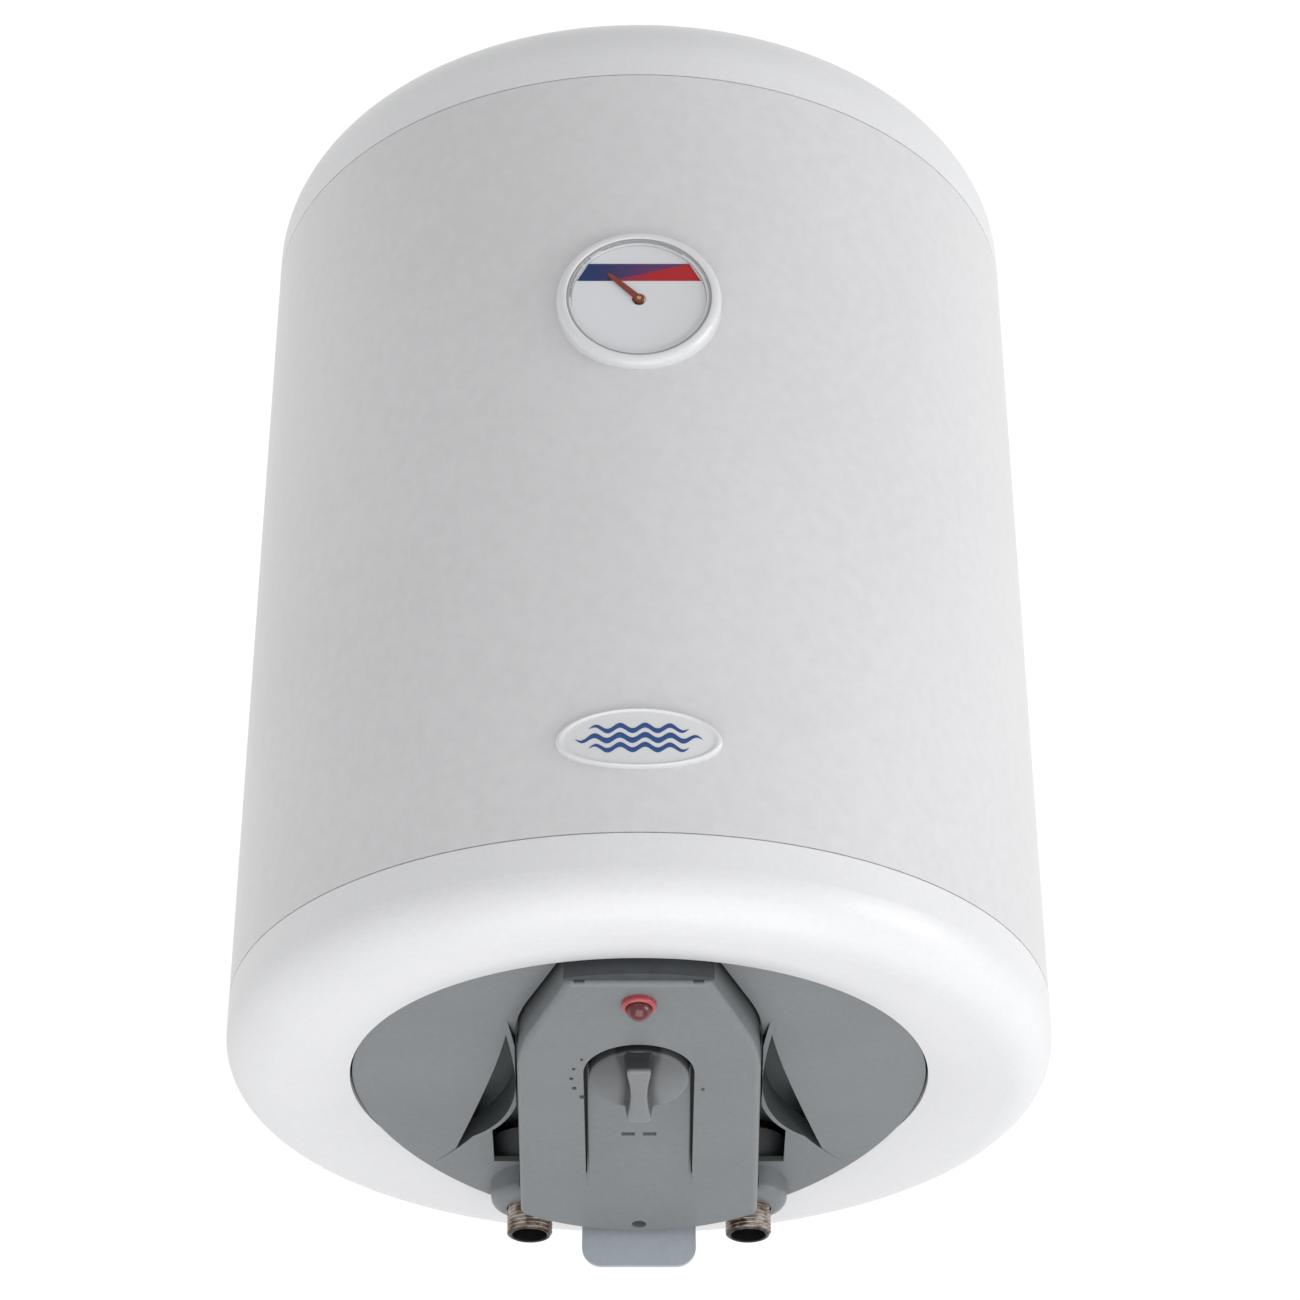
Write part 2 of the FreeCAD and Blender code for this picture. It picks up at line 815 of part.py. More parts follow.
def rib():
    """The right-hand rib: an upright curved blade, deepest at its middle and flush at its ends."""
    blade = rib_disc(rib_circle_radius + rib_thickness / 2, -60, -10)
    blade = blade.cut(rib_disc(rib_circle_radius - rib_thickness / 2, -61, -9))
    side = face_of(point(40, -60, -22),
                   point(40, -58, dish_z(-58)),
                   (point(40, -38, -33.5), point(40, 0, -36.5)),
                   (point(40, 28, -35), point(40, 54, dish_z(54) - 0.6)),
                   point(40, 78, dish_z(78)),
                   point(40, 78, -22))
    return blade.common(side.extrude(point(60, 0, 0)))


def pipe_collar():
    """The right-hand boss that the cold nipple passes through, with a rounded lower edge."""
    collar = cylinder(pipe_collar_radius, pipe_collar_end, rim_top - 4, pipe_x, pipe_y)
    low_edge = [edge for edge in collar.Edges if edge.BoundBox.ZMax < pipe_collar_end + 0.1]
    return collar.makeFillet(pipe_collar_rounding, low_edge).common(cylinder(ring_radius, -80, rim_top))


def front_notch():
    """The room in front of the console, up to the ring's rim."""
    half = cover_front_half + cover_gap
    notch = box((-half, half), (-ring_radius, cover_front_y), (-100, 0))
    return notch.common(cylinder(ring_radius - ring_wall, -100, 0))


def cover_ring():
    """The dish: two wings, an upstanding rim, ribs beside the console, pipe collars and openings."""
    disc_solid = cylinder(ring_radius, -80, rim_top)
    plate = dish_slab(0, rim_top).cut(dish_slab(-ring_wall, rim_top + 1)).common(disc_solid)
    rim = dish_slab(0, rim_top).common(tube(ring_radius, ring_radius - ring_wall, -80, rim_top))
    opening = cover_plan().makeOffset2D(cover_gap).extrude(point(0, 0, -100))
    slots = merged(outboard_slot(), inboard_slot()).cut(pipe_collar())
    ring = merged(plate, rim).cut(slots).cut(mirrored(slots))
    ring = merged(ring, rib(), mirrored(rib()), pipe_collar(), mirrored(pipe_collar()))
    for side in (-1, 1):
        ring = ring.cut(cylinder(thread_radius + 0.2, -80, 0, side * pipe_x, pipe_y))
    ring = ring.cut(opening).cut(front_notch())
    return ring.cut(cylinder(gland_radius, -80, 0, 0, gland_y))


def front_seal():
    """The dark rubber strip that fills the gap in front of the console."""
    strip = box((-seal_half, seal_half), (-ring_radius, seal_back_y), (seal_low, rim_top))
    strip = strip.common(cylinder(ring_radius - ring_wall - 0.3, -100, 0))
    return strip.common(front_notch())


# ---------------------------------------------------------------- knob, thermostat, lamp

def control_knob():
    """A round disc with a waisted grip bar across it, in the recess floor's frame."""
    low = -knob_lift - knob_disc
    plate = cylinder(knob_radius, low, -knob_lift)
    rim = [edge for edge in plate.Edges if abs(edge.BoundBox.ZMax - low) < 0.01]
    plate = plate.makeFillet(1.5, rim)
    end = grip_half_length
    bar = face_of(point(-grip_end_half, -end, low + 1),
                  (point(0, -end - grip_crown, low + 1), point(grip_end_half, -end, low + 1)),
                  (point(grip_waist_half, 0, low + 1), point(grip_end_half, end, low + 1)),
                  (point(0, end + grip_crown, low + 1), point(-grip_end_half, end, low + 1)),
                  (point(-grip_waist_half, 0, low + 1), point(-grip_end_half, -end, low + 1)))
    bar = bar.extrude(point(0, 0, -grip_height - 1))
    bar = bar.makeFillet(1.4, bar.Edges)
    knob = merged(plate, bar)
    return in_floor(knob.cut(cylinder(spindle_radius, -7.0, 1)))


def knob_spindle():
    return in_floor(cylinder(spindle_radius, -7.0, thermostat_low + 14))


def thermostat_body():
    """The thermostat under the recess floor, with a bushing for the spindle."""
    block = box((-16, 16), (-15, 15), (thermostat_low, thermostat_low + 18))
    block = block.makeFillet(1.5, block.Edges)
    bush = cylinder(5.0, recess_wall, thermostat_low + 2)
    body = merged(block, bush)
    return in_floor(body.cut(cylinder(spindle_radius + running_play, -10, thermostat_low + 15)))


def safety_cutout():
    """The cut-out's block, with a stepped bore for its reset button."""
    block = box((-cutout_half, cutout_half), (-8, 18), (cutout_low, cutout_low + 18))
    block = block.makeFillet(1.2, block.Edges)
    block = block.cut(cylinder(button_radius + running_play, cutout_low - 1, cutout_low + 9, 0, cutout_y))
    return block.cut(cylinder(button_collar + 0.3, cutout_low + 3, cutout_low + 9, 0, cutout_y))


def reset_button():
    """A pin with a collar that keeps it in the cut-out."""
    pin = cylinder(button_radius, cutout_low - button_reach, cutout_low + 6, 0, cutout_y)
    return merged(pin, cylinder(button_collar, cutout_low + 3.2, cutout_low + 4.2, 0, cutout_y))


def lamp_bezel():
    """The lamp's red ring, domed towards the user, and its neck through the console."""
    ring = cylinder(lamp_radius, -lamp_ring_height, 0)
    low_edge = [edge for edge in ring.Edges if edge.BoundBox.ZMax < 0.1 - lamp_ring_height]
    ring = merged(ring.makeFillet(lamp_ring_rounding, low_edge), cylinder(lamp_neck, -0.5, 6))
    return on_console(ring.cut(cylinder(lamp_ring_bore, -5, 10)), lamp_y)


def lamp_lens():
    """A round-nosed lens in the ring."""
    lens = cylinder(lamp_lens_radius, -lamp_dome_height, 5)
    low_edge = [edge for edge in lens.Edges if edge.BoundBox.ZMax < 0.1 - lamp_dome_height]
    return on_console(lens.makeFillet(lamp_lens_rounding, low_edge), lamp_y)


def lamp_body():
    """The neon lamp's holder behind the lens, with two tags."""
    holder = cylinder(lamp_holder, 6.0, 16.0)
    tags = [box((x - 0.4, x + 0.4), (-1.5, 1.5), (16, 21)) for x in (-2, 2)]
    return on_console(merged(holder, *tags), lamp_y)


def scale_marks():
    """Raised marks beside the knob: five to the left, growing hotter, and one to the right."""
    marks = []
    for angle, radius in ((-57, 0.6), (-74, 0.7), (-90, 0.8), (-106, 0.95), (-122, 1.1), (108, 0.8)):
        turn = math.radians(angle)
        x = mark_circle * math.sin(turn)
        y = knob_y - mark_circle * math.cos(turn)
        dot = cylinder(radius, -0.3, 0).translated(point(x, 0, 0))
        marks.append(on_console(dot, y))
    return marks


# ---------------------------------------------------------------- wiring and cable outlet

def terminal_block():
    block = box(block_x, block_y, block_z)
    for y in terminal_places():
        block = block.cut(cylinder(2.2, block_z[0] - 1, block_z[0] + 6, sum(block_x) / 2, y))
    return block


def terminal_places():
    return [block_y[0] + 6 + terminal_pitch * k for k in range(3)]


def terminal_screws():
    x = sum(block_x) / 2
    return [cylinder(2.1, block_z[0] + 1, block_z[0] + 6, x, y) for y in terminal_places()]


def capillary(x, start_y, level):
    """A thin tube from a switch to its bulb in the pocket."""
    return lead([point(x, start_y, level), point(x, pocket_y, level), point(x, pocket_y, bulb_base)],
                capillary_radius, 5.0)


def internal_leads():
    """Insulated leads from the terminal block to the element, the flange's stud and the lamp."""
    x = sum(block_x) / 2
    first, second, third = terminal_places()
    top = block_z[1]
    terminal_end = plate_bottom - element_foot - terminal_length
    earth_x, earth_y = around_flange()[4]
    live = [point(x, first, top), point(x, first, -25), point(element_half, 0, -25),
            point(element_half, 0, terminal_end)]
    neutral = [point(x, third, top), point(x, third, -25.5), point(-element_half, 24, -25.5),
               point(-element_half, 0, -25.5), point(-element_half, 0, terminal_end)]
    earth = [point(x, second, top), point(x, second, -22), point(earth_x, earth_y, -22),
             point(earth_x, earth_y, stud_end)]
    lamp = [point(2, lamp_y + 3.8, -20), point(2, -80, -20), point(24, -58, -22), point(30, 0, -38),
            point(30, block_y[0], -38)]
    routes = [(live, 2.5), (neutral, 2.5), (earth, 1.9), (lamp, 8.0)]
    return [lead(route, lead_radius, bend) for route, bend in routes]


def cable_gland():
    """A threaded bush with a flange, for the supply cable."""
    bush = tube(gland_radius, gland_bore, gland_low, gland_high, 0, gland_y)
    nut = tube(gland_radius + 1.8, gland_bore, gland_low, gland_low + 6, 0, gland_y)
    return merged(bush, nut)


def cable_hood():
    """The tongue that shields the cable: a front plate and two side walls that taper off behind it."""
    outer = box((-hood_half, hood_half), (hood_front_y, hood_back_y), (hood_end, -30))
    corners = [edge for edge in outer.Edges if is_low_corner(edge)]
    outer = outer.makeFillet(hood_corner, corners)
    inner = box((-hood_half + hood_wall, hood_half - hood_wall),
                (hood_front_y + hood_wall, hood_back_y + 5), (hood_end - 5, 0))
    hood = outer.cut(inner).cut(behind_hood()).common(cylinder(ring_radius - 0.2, -100, 0))
    return hood.cut(dish_slab(0.0, 0.0))


def behind_hood():
    """The room under the hood's side walls, whose lower edges rise from the front plate to the back."""
    start = hood_front_y + hood_wall
    end = hood_back_y + 5
    outline = face_of(point(-40, start, -100),
                      point(-40, start, hood_side_end),
                      point(-40, end, hood_side_end + hood_side_slope * (end - start)),
                      point(-40, end, -100))
    return outline.extrude(point(80, 0, 0))


def is_low_corner(edge):
    """The two lower side edges of the hood, which run along Y."""
    bounds = edge.BoundBox
    return bounds.YLength > 5 and bounds.ZMax < hood_end + 0.1


# ---------------------------------------------------------------- thermometer

def casing_core():
    """The casing's outside as a full solid, to fit pieces against it."""
    return cylinder(casing_radius, 0, body_height)


def gauge_bezel():
    """A domed ring that lies against the curved casing."""
    ring = disc(bezel_radius, bezel_front, -160).cut(disc(bezel_bore, bezel_front - 5, -150))
    outer_edge = [edge for edge in ring.Edges
                  if edge.BoundBox.YMax < bezel_front + 0.01 and edge.BoundBox.XLength > 2 * bezel_bore + 2]
    ring = ring.makeFillet(bezel_rounding, outer_edge)
    return ring.cut(casing_core())


def gauge_housing():
    """A shallow cup against the casing that carries the dial and the window."""
    cup = disc(bezel_bore - 0.1, lens_y, -160).cut(disc(bezel_bore - 2.0, lens_y - 5, dial_y))
    cup = cup.cut(disc(gauge_stem_neck + 0.1, -200, -150))
    return cup.cut(casing_core())


def gauge_dial():
    dial = disc(bezel_bore - 2.2, dial_y - dial_sheet, dial_y)
    return dial.cut(disc(gauge_stem_neck + 0.1, -200, -150))


def scale_wedge(points):
    """A flat coloured patch just in front of the dial, from (x, z) corners."""
    front = dial_y - dial_sheet - scale_sheet
    corners = [point(x, front, gauge_z + z) for x, z in points]
    return face_of(*corners).extrude(point(0, scale_sheet, 0))


def cold_scale():
    return scale_wedge([(-27, 10), (-22, 19.2), (21.8, 19.2), (-12.6, 10)])


def hot_scale():
    return scale_wedge([(27, 10), (22, 19.2), (-12.4, 10)])


def gauge_lens():
    """The clear window."""
    return disc(lens_radius, lens_y - lens_thickness, lens_y)


def gauge_stem():
    """The thermometer's stem: through the casing and the foam to the tank's side."""
    stem = disc(gauge_stem_radius, -casing_radius + 1.5, -tank_radius - 0.1)
    neck = disc(gauge_stem_neck, dial_y + 0.1, -casing_radius + 3)
    return merged(stem, neck).cut(disc(gauge_spindle_radius + running_play, -200, -165))


def gauge_spindle():
    return disc(gauge_spindle_radius, pointer_y - 0.2, -166)


def gauge_pointer():
    """A flat tapered hand with a round hub, turned to its rest position."""
    tip = pointer_length
    hand = face_of(point(-1.5, pointer_y, gauge_z),
                   point(-1.0, pointer_y, gauge_z + tip - 2),
                   point(0, pointer_y, gauge_z + tip),
                   point(1.0, pointer_y, gauge_z + tip - 2),
                   point(1.5, pointer_y, gauge_z))
    hand = hand.extrude(point(0, pointer_sheet, 0))
    pointer = merged(hand, disc(2.2, pointer_y, pointer_y + pointer_sheet))
    pointer = pointer.cut(disc(gauge_spindle_radius, -200, -150))
    pointer.rotate(point(0, 0, gauge_z), BACK, -pointer_rest)
    return pointer


# ---------------------------------------------------------------- badge

def oval(half_width, half_height):
    """An oval prism along Y through the front of the casing."""
    major = max(half_width, half_height)
    minor = min(half_width, half_height)
    ellipse = Part.Ellipse(point(0, 0, 0), major, minor).toShape()
    flat = Part.Face(Part.Wire(ellipse)).extrude(point(0, 0, 60))
    flat.rotate(ORIGIN, point(1, 0, 0), 90)
    return flat.translated(point(0, -140, badge_z))


def badge_layer(inner, outer):
    """The stretch of curved layer between two radii, in front of the casing."""
    return tube(outer, inner, badge_z - 30, badge_z + 30)


def badge_plate():
    """A curved oval plate with a raised rim."""
    plate = oval(badge_half_width, badge_half_height).common(
        badge_layer(casing_radius, casing_radius + badge_thickness))
    rim = oval(badge_half_width, badge_half_height)
    rim = rim.cut(oval(badge_half_width - badge_rim_width, badge_half_height - badge_rim_width))
    rim = rim.common(badge_layer(casing_radius, casing_radius + badge_thickness + badge_rim_height))
    return merged(plate, rim)


def badge_emblem():
    """Three level wave strokes, raised a little above the plate."""
    strokes = []
    for level, half in ((4.6, 21.0), (0.0, 26.5), (-4.6, 21.0)):
        waves = int(half // 4.4)
        pitch = 2 * half / waves
        upper_edge = wave(-half, pitch, waves, badge_z + level + stroke_half)
        lower_edge = wave(-half, pitch, waves, badge_z + level - stroke_half)
        ends = [Part.makeLine(upper_edge[0].Vertexes[0].Point, lower_edge[0].Vertexes[0].Point),
                Part.makeLine(upper_edge[-1].Vertexes[-1].Point, lower_edge[-1].Vertexes[-1].Point)]
        outline = Part.Wire(Part.__sortEdges__(upper_edge + lower_edge + ends))
        stroke = Part.Face(outline).extrude(point(0, 60, 0))
        base = casing_radius + badge_thickness
        strokes.append(stroke.common(badge_layer(base, base + stroke_height)))
    return strokes


def wave(start, pitch, count, z):
    """A row of arcs, up and down by turns, in the plane y = -200."""
    steps = []
    for k in range(count):
        swing = 1.1 if k % 2 == 0 else -1.1
        middle = point(start + (k + 0.5) * pitch, -200, z + swing)
        steps.append((middle, point(start + (k + 1) * pitch, -200, z)))
    return path(point(start, -200, z), *steps)


# ---------------------------------------------------------------- wall hanger

def lug_block(side, play):
    """The space a hanger lug takes, between the tank and the hanger plate."""
    x = side * lug_spacing / 2
    half = hanger_sheet / 2 + play
    low = bolt_height - hanger_height / 2 + 2 - play
    high = bolt_height + hanger_height / 2 - 2 + play
    return box((x - half, x + half), (120, casing_radius + wall_gap - hanger_sheet), (low, high))


def hanger_lugs():
    return [lug_block(side, 0.0).cut(cylinder(tank_radius, 0, body_height)) for side in (-1, 1)]


def hanger_plate():
    """The flat strap in the wall plane, with a bolt hole at each end."""
    wall = casing_radius + wall_gap
    plate = box((-hanger_width / 2, hanger_width / 2), (wall - hanger_sheet, wall),
                (bolt_height - hanger_height / 2, bolt_height + hanger_height / 2))
    corners = [edge for edge in plate.Edges if abs(edge.BoundBox.YLength - hanger_sheet) < 0.01]
    plate = plate.makeFillet(hanger_corner, corners)
    for side in (-1, 1):
        plate = plate.cut(disc(bolt_hole_radius, wall - 10, wall + 5, bolt_height, side * bolt_spacing / 2))
    return plate


def wall_pad():
    """The lower foot that keeps the heater upright against the wall."""
    wall = casing_radius + wall_gap
    pad = disc(pad_radius, casing_radius - 5, wall, pad_height)
    return pad.cut(casing_core())


def build():
    os.makedirs("parts", exist_ok=True)
    save("outer_casing", outer_casing())
    save("top_cap", top_cap())
    save("bottom_cap", bottom_cap())
    save("insulation_foam", insulation_foam())
    save("tank_shell", tube(tank_radius, tank_radius - tank_wall, tank_foot, tank_head))
    save("tank_top_end", upper(pressed_end()))
    save("tank_bottom_end", tank_bottom_end())
    save("flange_neck", flange_neck())
    save("flange_gasket", flange_gasket())
    save("flange_plate", flange_plate())
    save("flange_studs", *flange_studs())
    save("flange_nuts", *flange_nuts())
    save("heating_element", heating_element())
    save("element_terminals", *element_terminals())
    save("thermometer_pocket", thermometer_pocket())
    save("thermostat_bulb", bulb(-bulb_radius - 0.1))
    save("cutout_bulb", bulb(bulb_radius + 0.1))
    save("thermostat_capillary", capillary(-bulb_radius - 0.1, thermostat_back, -20.0))
    save("cutout_capillary", capillary(bulb_radius + 0.1, cutout_front, -30.0))
    save("anode_rod", anode_rod())
    save("anode_stud", anode_stud())
    save("cold_nipple", nipple(1))
    save("hot_nipple", nipple(-1))
    save("cold_inlet_tube", dip_tube(1, cold_tube_top))
    save("hot_outlet_tube", dip_tube(-1, hot_tube_top))
    save("inlet_diffuser", inlet_diffuser())
    save("cover_ring", cover_ring())
    save("front_seal", front_seal())
    save("service_cover", service_cover())
    save("cover_screw", cover_screw())
    save("control_knob", control_knob())
    save("knob_spindle", knob_spindle())
    save("thermostat_body", thermostat_body())
    save("safety_cutout", safety_cutout())
    save("reset_button", reset_button())
    save("lamp_bezel", lamp_bezel())
    save("lamp_lens", lamp_lens())
    save("lamp_body", lamp_body())
    save("scale_marks", *scale_marks())
    save("terminal_block", terminal_block())
    save("terminal_screws", *terminal_screws())
    save("internal_leads", *internal_leads())
    save("cable_gland", cable_gland())
    save("cable_hood", cable_hood())
    save("gauge_bezel", gauge_bezel())
    save("gauge_housing", gauge_housing())
    save("gauge_dial", gauge_dial())
    save("cold_scale", cold_scale())
    save("hot_scale", hot_scale())
    save("gauge_lens", gauge_lens())
    save("gauge_stem", gauge_stem())
    save("gauge_spindle", gauge_spindle())
    save("gauge_pointer", gauge_pointer())
    save("badge_plate", badge_plate())
    save("badge_emblem", *badge_emblem())
    save("hanger_plate", hanger_plate())
    save("hanger_lugs", *hanger_lugs())
    save("wall_pad", wall_pad())


build()
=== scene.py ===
# %% [markdown]
# # A wall-hung tank water heater
# The heater is a painted steel drum between two moulded caps. Under it sits a grey cover with a knob, a
# pilot lamp and the two water nipples, and on its front are a round thermometer and an oval badge.
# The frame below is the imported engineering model: every piece in it has its real size and place, so the
# looks are built around it and nothing in it is moved.

import json
import math

import bmesh
import bpy
import numpy as np
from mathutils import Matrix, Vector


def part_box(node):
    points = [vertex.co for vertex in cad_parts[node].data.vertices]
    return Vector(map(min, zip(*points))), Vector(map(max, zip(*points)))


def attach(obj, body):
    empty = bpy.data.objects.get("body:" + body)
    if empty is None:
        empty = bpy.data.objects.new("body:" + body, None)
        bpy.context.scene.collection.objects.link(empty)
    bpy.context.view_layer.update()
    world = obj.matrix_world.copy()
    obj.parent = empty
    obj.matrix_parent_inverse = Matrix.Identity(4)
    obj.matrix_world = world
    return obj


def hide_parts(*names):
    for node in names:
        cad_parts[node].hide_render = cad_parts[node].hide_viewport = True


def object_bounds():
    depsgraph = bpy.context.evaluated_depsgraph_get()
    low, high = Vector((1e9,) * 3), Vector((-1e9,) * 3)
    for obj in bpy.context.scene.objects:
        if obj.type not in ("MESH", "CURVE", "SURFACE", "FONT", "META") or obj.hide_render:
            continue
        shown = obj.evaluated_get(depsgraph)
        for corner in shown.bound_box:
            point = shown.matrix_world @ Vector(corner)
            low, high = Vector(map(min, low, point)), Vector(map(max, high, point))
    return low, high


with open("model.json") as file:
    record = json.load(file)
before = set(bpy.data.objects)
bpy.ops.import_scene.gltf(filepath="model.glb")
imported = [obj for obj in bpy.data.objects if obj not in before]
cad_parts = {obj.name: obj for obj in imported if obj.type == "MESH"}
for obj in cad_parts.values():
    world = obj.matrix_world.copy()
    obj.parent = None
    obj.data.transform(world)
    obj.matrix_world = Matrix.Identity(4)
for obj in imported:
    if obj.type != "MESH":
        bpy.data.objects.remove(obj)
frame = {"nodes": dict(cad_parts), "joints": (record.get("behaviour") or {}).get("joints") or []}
nodes = frame["nodes"]
cad_low, cad_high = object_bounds()
print("frame:", len(nodes), "nodes, box", [round(v, 4) for v in cad_high - cad_low])

# %% [markdown]
# ## Shader maths as plain expressions
# A finish is a small network of nodes. Wiring it by hand hides the idea behind it, so one class wraps an
# output socket and turns + - * / and ** into Math nodes, and one method makes any other node from its
# type, its settings and what goes into its sockets.

# %% Sockets that can be added and multiplied
class Wire:
    """An output socket. Arithmetic on it adds Math nodes to its network."""

    def __init__(self, network, socket):
        self.network = network
        self.socket = socket

    def math(self, operation, first, second=0.0):
        return self.network.node("ShaderNodeMath", {"operation": operation}, {0: first, 1: second})

    def __add__(self, other):
        return self.math("ADD", self, other)

    def __radd__(self, other):
        return self.math("ADD", other, self)

    def __sub__(self, other):
        return self.math("SUBTRACT", self, other)

    def __rsub__(self, other):
        return self.math("SUBTRACT", other, self)

    def __mul__(self, other):
        return self.math("MULTIPLY", self, other)

    def __rmul__(self, other):
        return self.math("MULTIPLY", other, self)

    def __truediv__(self, other):
        return self.math("DIVIDE", self, other)

    def __pow__(self, other):
        return self.math("POWER", self, other)

    def clamped(self):
        return self.network.node("ShaderNodeClamp", {}, {0: self})


class Network:
    """A node tree being wired."""

    def __init__(self, tree):
        self.tree = tree
        tree.nodes.clear()

    def node(self, kind, settings=None, sockets=None, out=0):
        """Any node, from its type, its settings (set first) and the values or wires of its sockets."""
        made = self.tree.nodes.new(kind)
        for key, value in (settings or {}).items():
            if key == "stops":
                self.set_stops(made.color_ramp, value)
            else:
                setattr(made, key, value)
        for key, value in (sockets or {}).items():
            if isinstance(value, Wire):
                self.tree.links.new(value.socket, made.inputs[key])
            else:
                made.inputs[key].default_value = value
        return Wire(self, made.outputs[out]) if made.outputs else made

    def set_stops(self, ramp, stops):
        """Stops as (position, colour) pairs."""
        while len(ramp.elements) < len(stops):
            ramp.elements.new(0.5)
        for element, (position, colour) in zip(ramp.elements, stops):
            element.position = position
            element.color = (*colour, 1.0)

    def place(self):
        """The point on the piece, in the row frame, in metres."""
        return self.node("ShaderNodeTexCoord", out="Object")

    def axes(self, vector):
        """The three parts of a vector."""
        split = self.tree.nodes.new("ShaderNodeSeparateXYZ")
        self.tree.links.new(vector.socket, split.inputs[0])
        return [Wire(self, socket) for socket in split.outputs]

    def noise(self, where, scale, detail=2.0, roughness=0.5):
        """Cloudy noise from 0 to 1, with scale counted per metre."""
        return self.node("ShaderNodeTexNoise", {},
                         {"Vector": where, "Scale": scale, "Detail": detail, "Roughness": roughness})

    def cells(self, where, scale, feature="F1"):
        """Distance to the nearest cell centre, or edge."""
        return self.node("ShaderNodeTexVoronoi", {"feature": feature},
                         {"Vector": where, "Scale": scale}, out="Distance")

    def step(self, value, low, high):
        """0 below low, 1 above high and smooth between them."""
        return self.node("ShaderNodeMapRange", {"interpolation_type": "SMOOTHSTEP"},
                         {"Value": value, "From Min": low, "From Max": high})

    def blend(self, share, first, second):
        """Colours mixed by a share from 0 to 1."""
        mix = self.tree.nodes.new("ShaderNodeMix")
        mix.data_type = "RGBA"
        pairs = ((mix.inputs["Factor"], share), (mix.inputs[6], first), (mix.inputs[7], second))
        for socket, value in pairs:
            if isinstance(value, Wire):
                self.tree.links.new(value.socket, socket)
            elif isinstance(value, (int, float)):
                socket.default_value = value
            else:
                socket.default_value = (*value, 1.0)
        return Wire(self, mix.outputs[2])

    def bump(self, height, strength, distance):
        """A surface normal from a height map, with distance in metres."""
        return self.node("ShaderNodeBump", {},
                         {"Height": height, "Strength": strength, "Distance": distance})

    def size_of(self, value):
        """A value without its sign."""
        return self.node("ShaderNodeMath", {"operation": "ABSOLUTE"}, {0: value})


class Finish(Network):
    """A material being wired. close() gives it its shader."""

    def __init__(self, name):
        self.material = bpy.data.materials.new(name)
        self.material.use_nodes = True
        super().__init__(self.material.node_tree)

    def close(self, **sockets):
        """Adds the Principled shader with these sockets, an underscore standing for a space."""
        named = {key.replace("_", " "): value for key, value in sockets.items()}
        for key, value in named.items():
            if isinstance(value, tuple) and len(value) == 3 and "Color" in key:
                named[key] = (*value, 1.0)
        shader = self.node("ShaderNodeBsdfPrincipled", {}, named)
        self.node("ShaderNodeOutputMaterial", {}, {"Surface": shader})
        return self.material


# %% [markdown]
# ## Paint, plastics and metals
# White goods are painted or moulded in quiet colours, so the eye reads them by small things: the orange
# peel of stoved paint, the spark-eroded grain of a mould, a faint drift of tone over a hand's width.
# Each finish below mixes two or three noises at the real scale of such marks, in metres.

# %% Stoved paint and moulded plastic
def stoved_paint(name, light, dark):
    """Powder paint on rolled steel: a slow drift of tone, a fine mottle and orange peel."""
    finish = Finish(name)
    here = finish.place()
    drift = finish.noise(here, 7.0, 2.0)
    mottle = finish.noise(here, 160.0, 3.0, 0.6)
    peel = finish.noise(here, 620.0, 2.0)
    share = finish.step(drift * 0.45 + mottle * 0.55, 0.32, 0.68)
    rough = 0.36 + mottle * 0.10
    return finish.close(Base_Color=finish.blend(share, dark, light), Roughness=rough, Coat_Weight=0.25,
                        Coat_Roughness=0.18, Normal=finish.bump(peel, 0.12, 0.0004))


def moulded(name, light, dark, grain=900.0, grain_depth=0.0002, rough=0.42, coat=0.0):
    """Injection-moulded plastic: eroded grain, faint flow marks and a drift of gloss."""
    finish = Finish(name)
    here = finish.place()
    flow = finish.noise(here, 14.0, 3.0, 0.55)
    speck = finish.noise(here, 380.0, 2.0)
    grains = finish.cells(here, grain)
    share = finish.step(flow * 0.6 + speck * 0.4, 0.30, 0.70)
    return finish.close(Base_Color=finish.blend(share, dark, light), Roughness=rough + 0.12 * (flow - 0.5),
                        Coat_Weight=coat, Coat_Roughness=0.2,
                        Normal=finish.bump(grains + speck * 0.5, 0.25, grain_depth))


# %% Grey plastics with painted shade
# The narrow gaps round the console read as nearly black. Light alone leaves them too pale, so these three
# finishes are darker there. The dark tones stand for shade and not for dirt.
MM = 0.001
RIB_REACH = (80 * MM, 90 * MM)          # side distances between which the ring's shade fades out
RECESS_Y = -237 * MM                    # the two ends of the recess's shade are counted from here
SHADE_FRONT = (-29 * MM, -27 * MM)      # its front end
SHADE_REAR = (-1 * MM, 3 * MM)          # and its rear end
GROOVE_INNER = (21.6 * MM, 22.4 * MM)   # side distances of a groove's inner edge
GROOVE_OUTER = (26.2 * MM, 26.8 * MM)   # and of its outer edge
SCREW_Y = -105 * MM
SCREW_HOLE = (3.1 * MM, 3.4 * MM)       # radii between which the screw hole's shade fades out


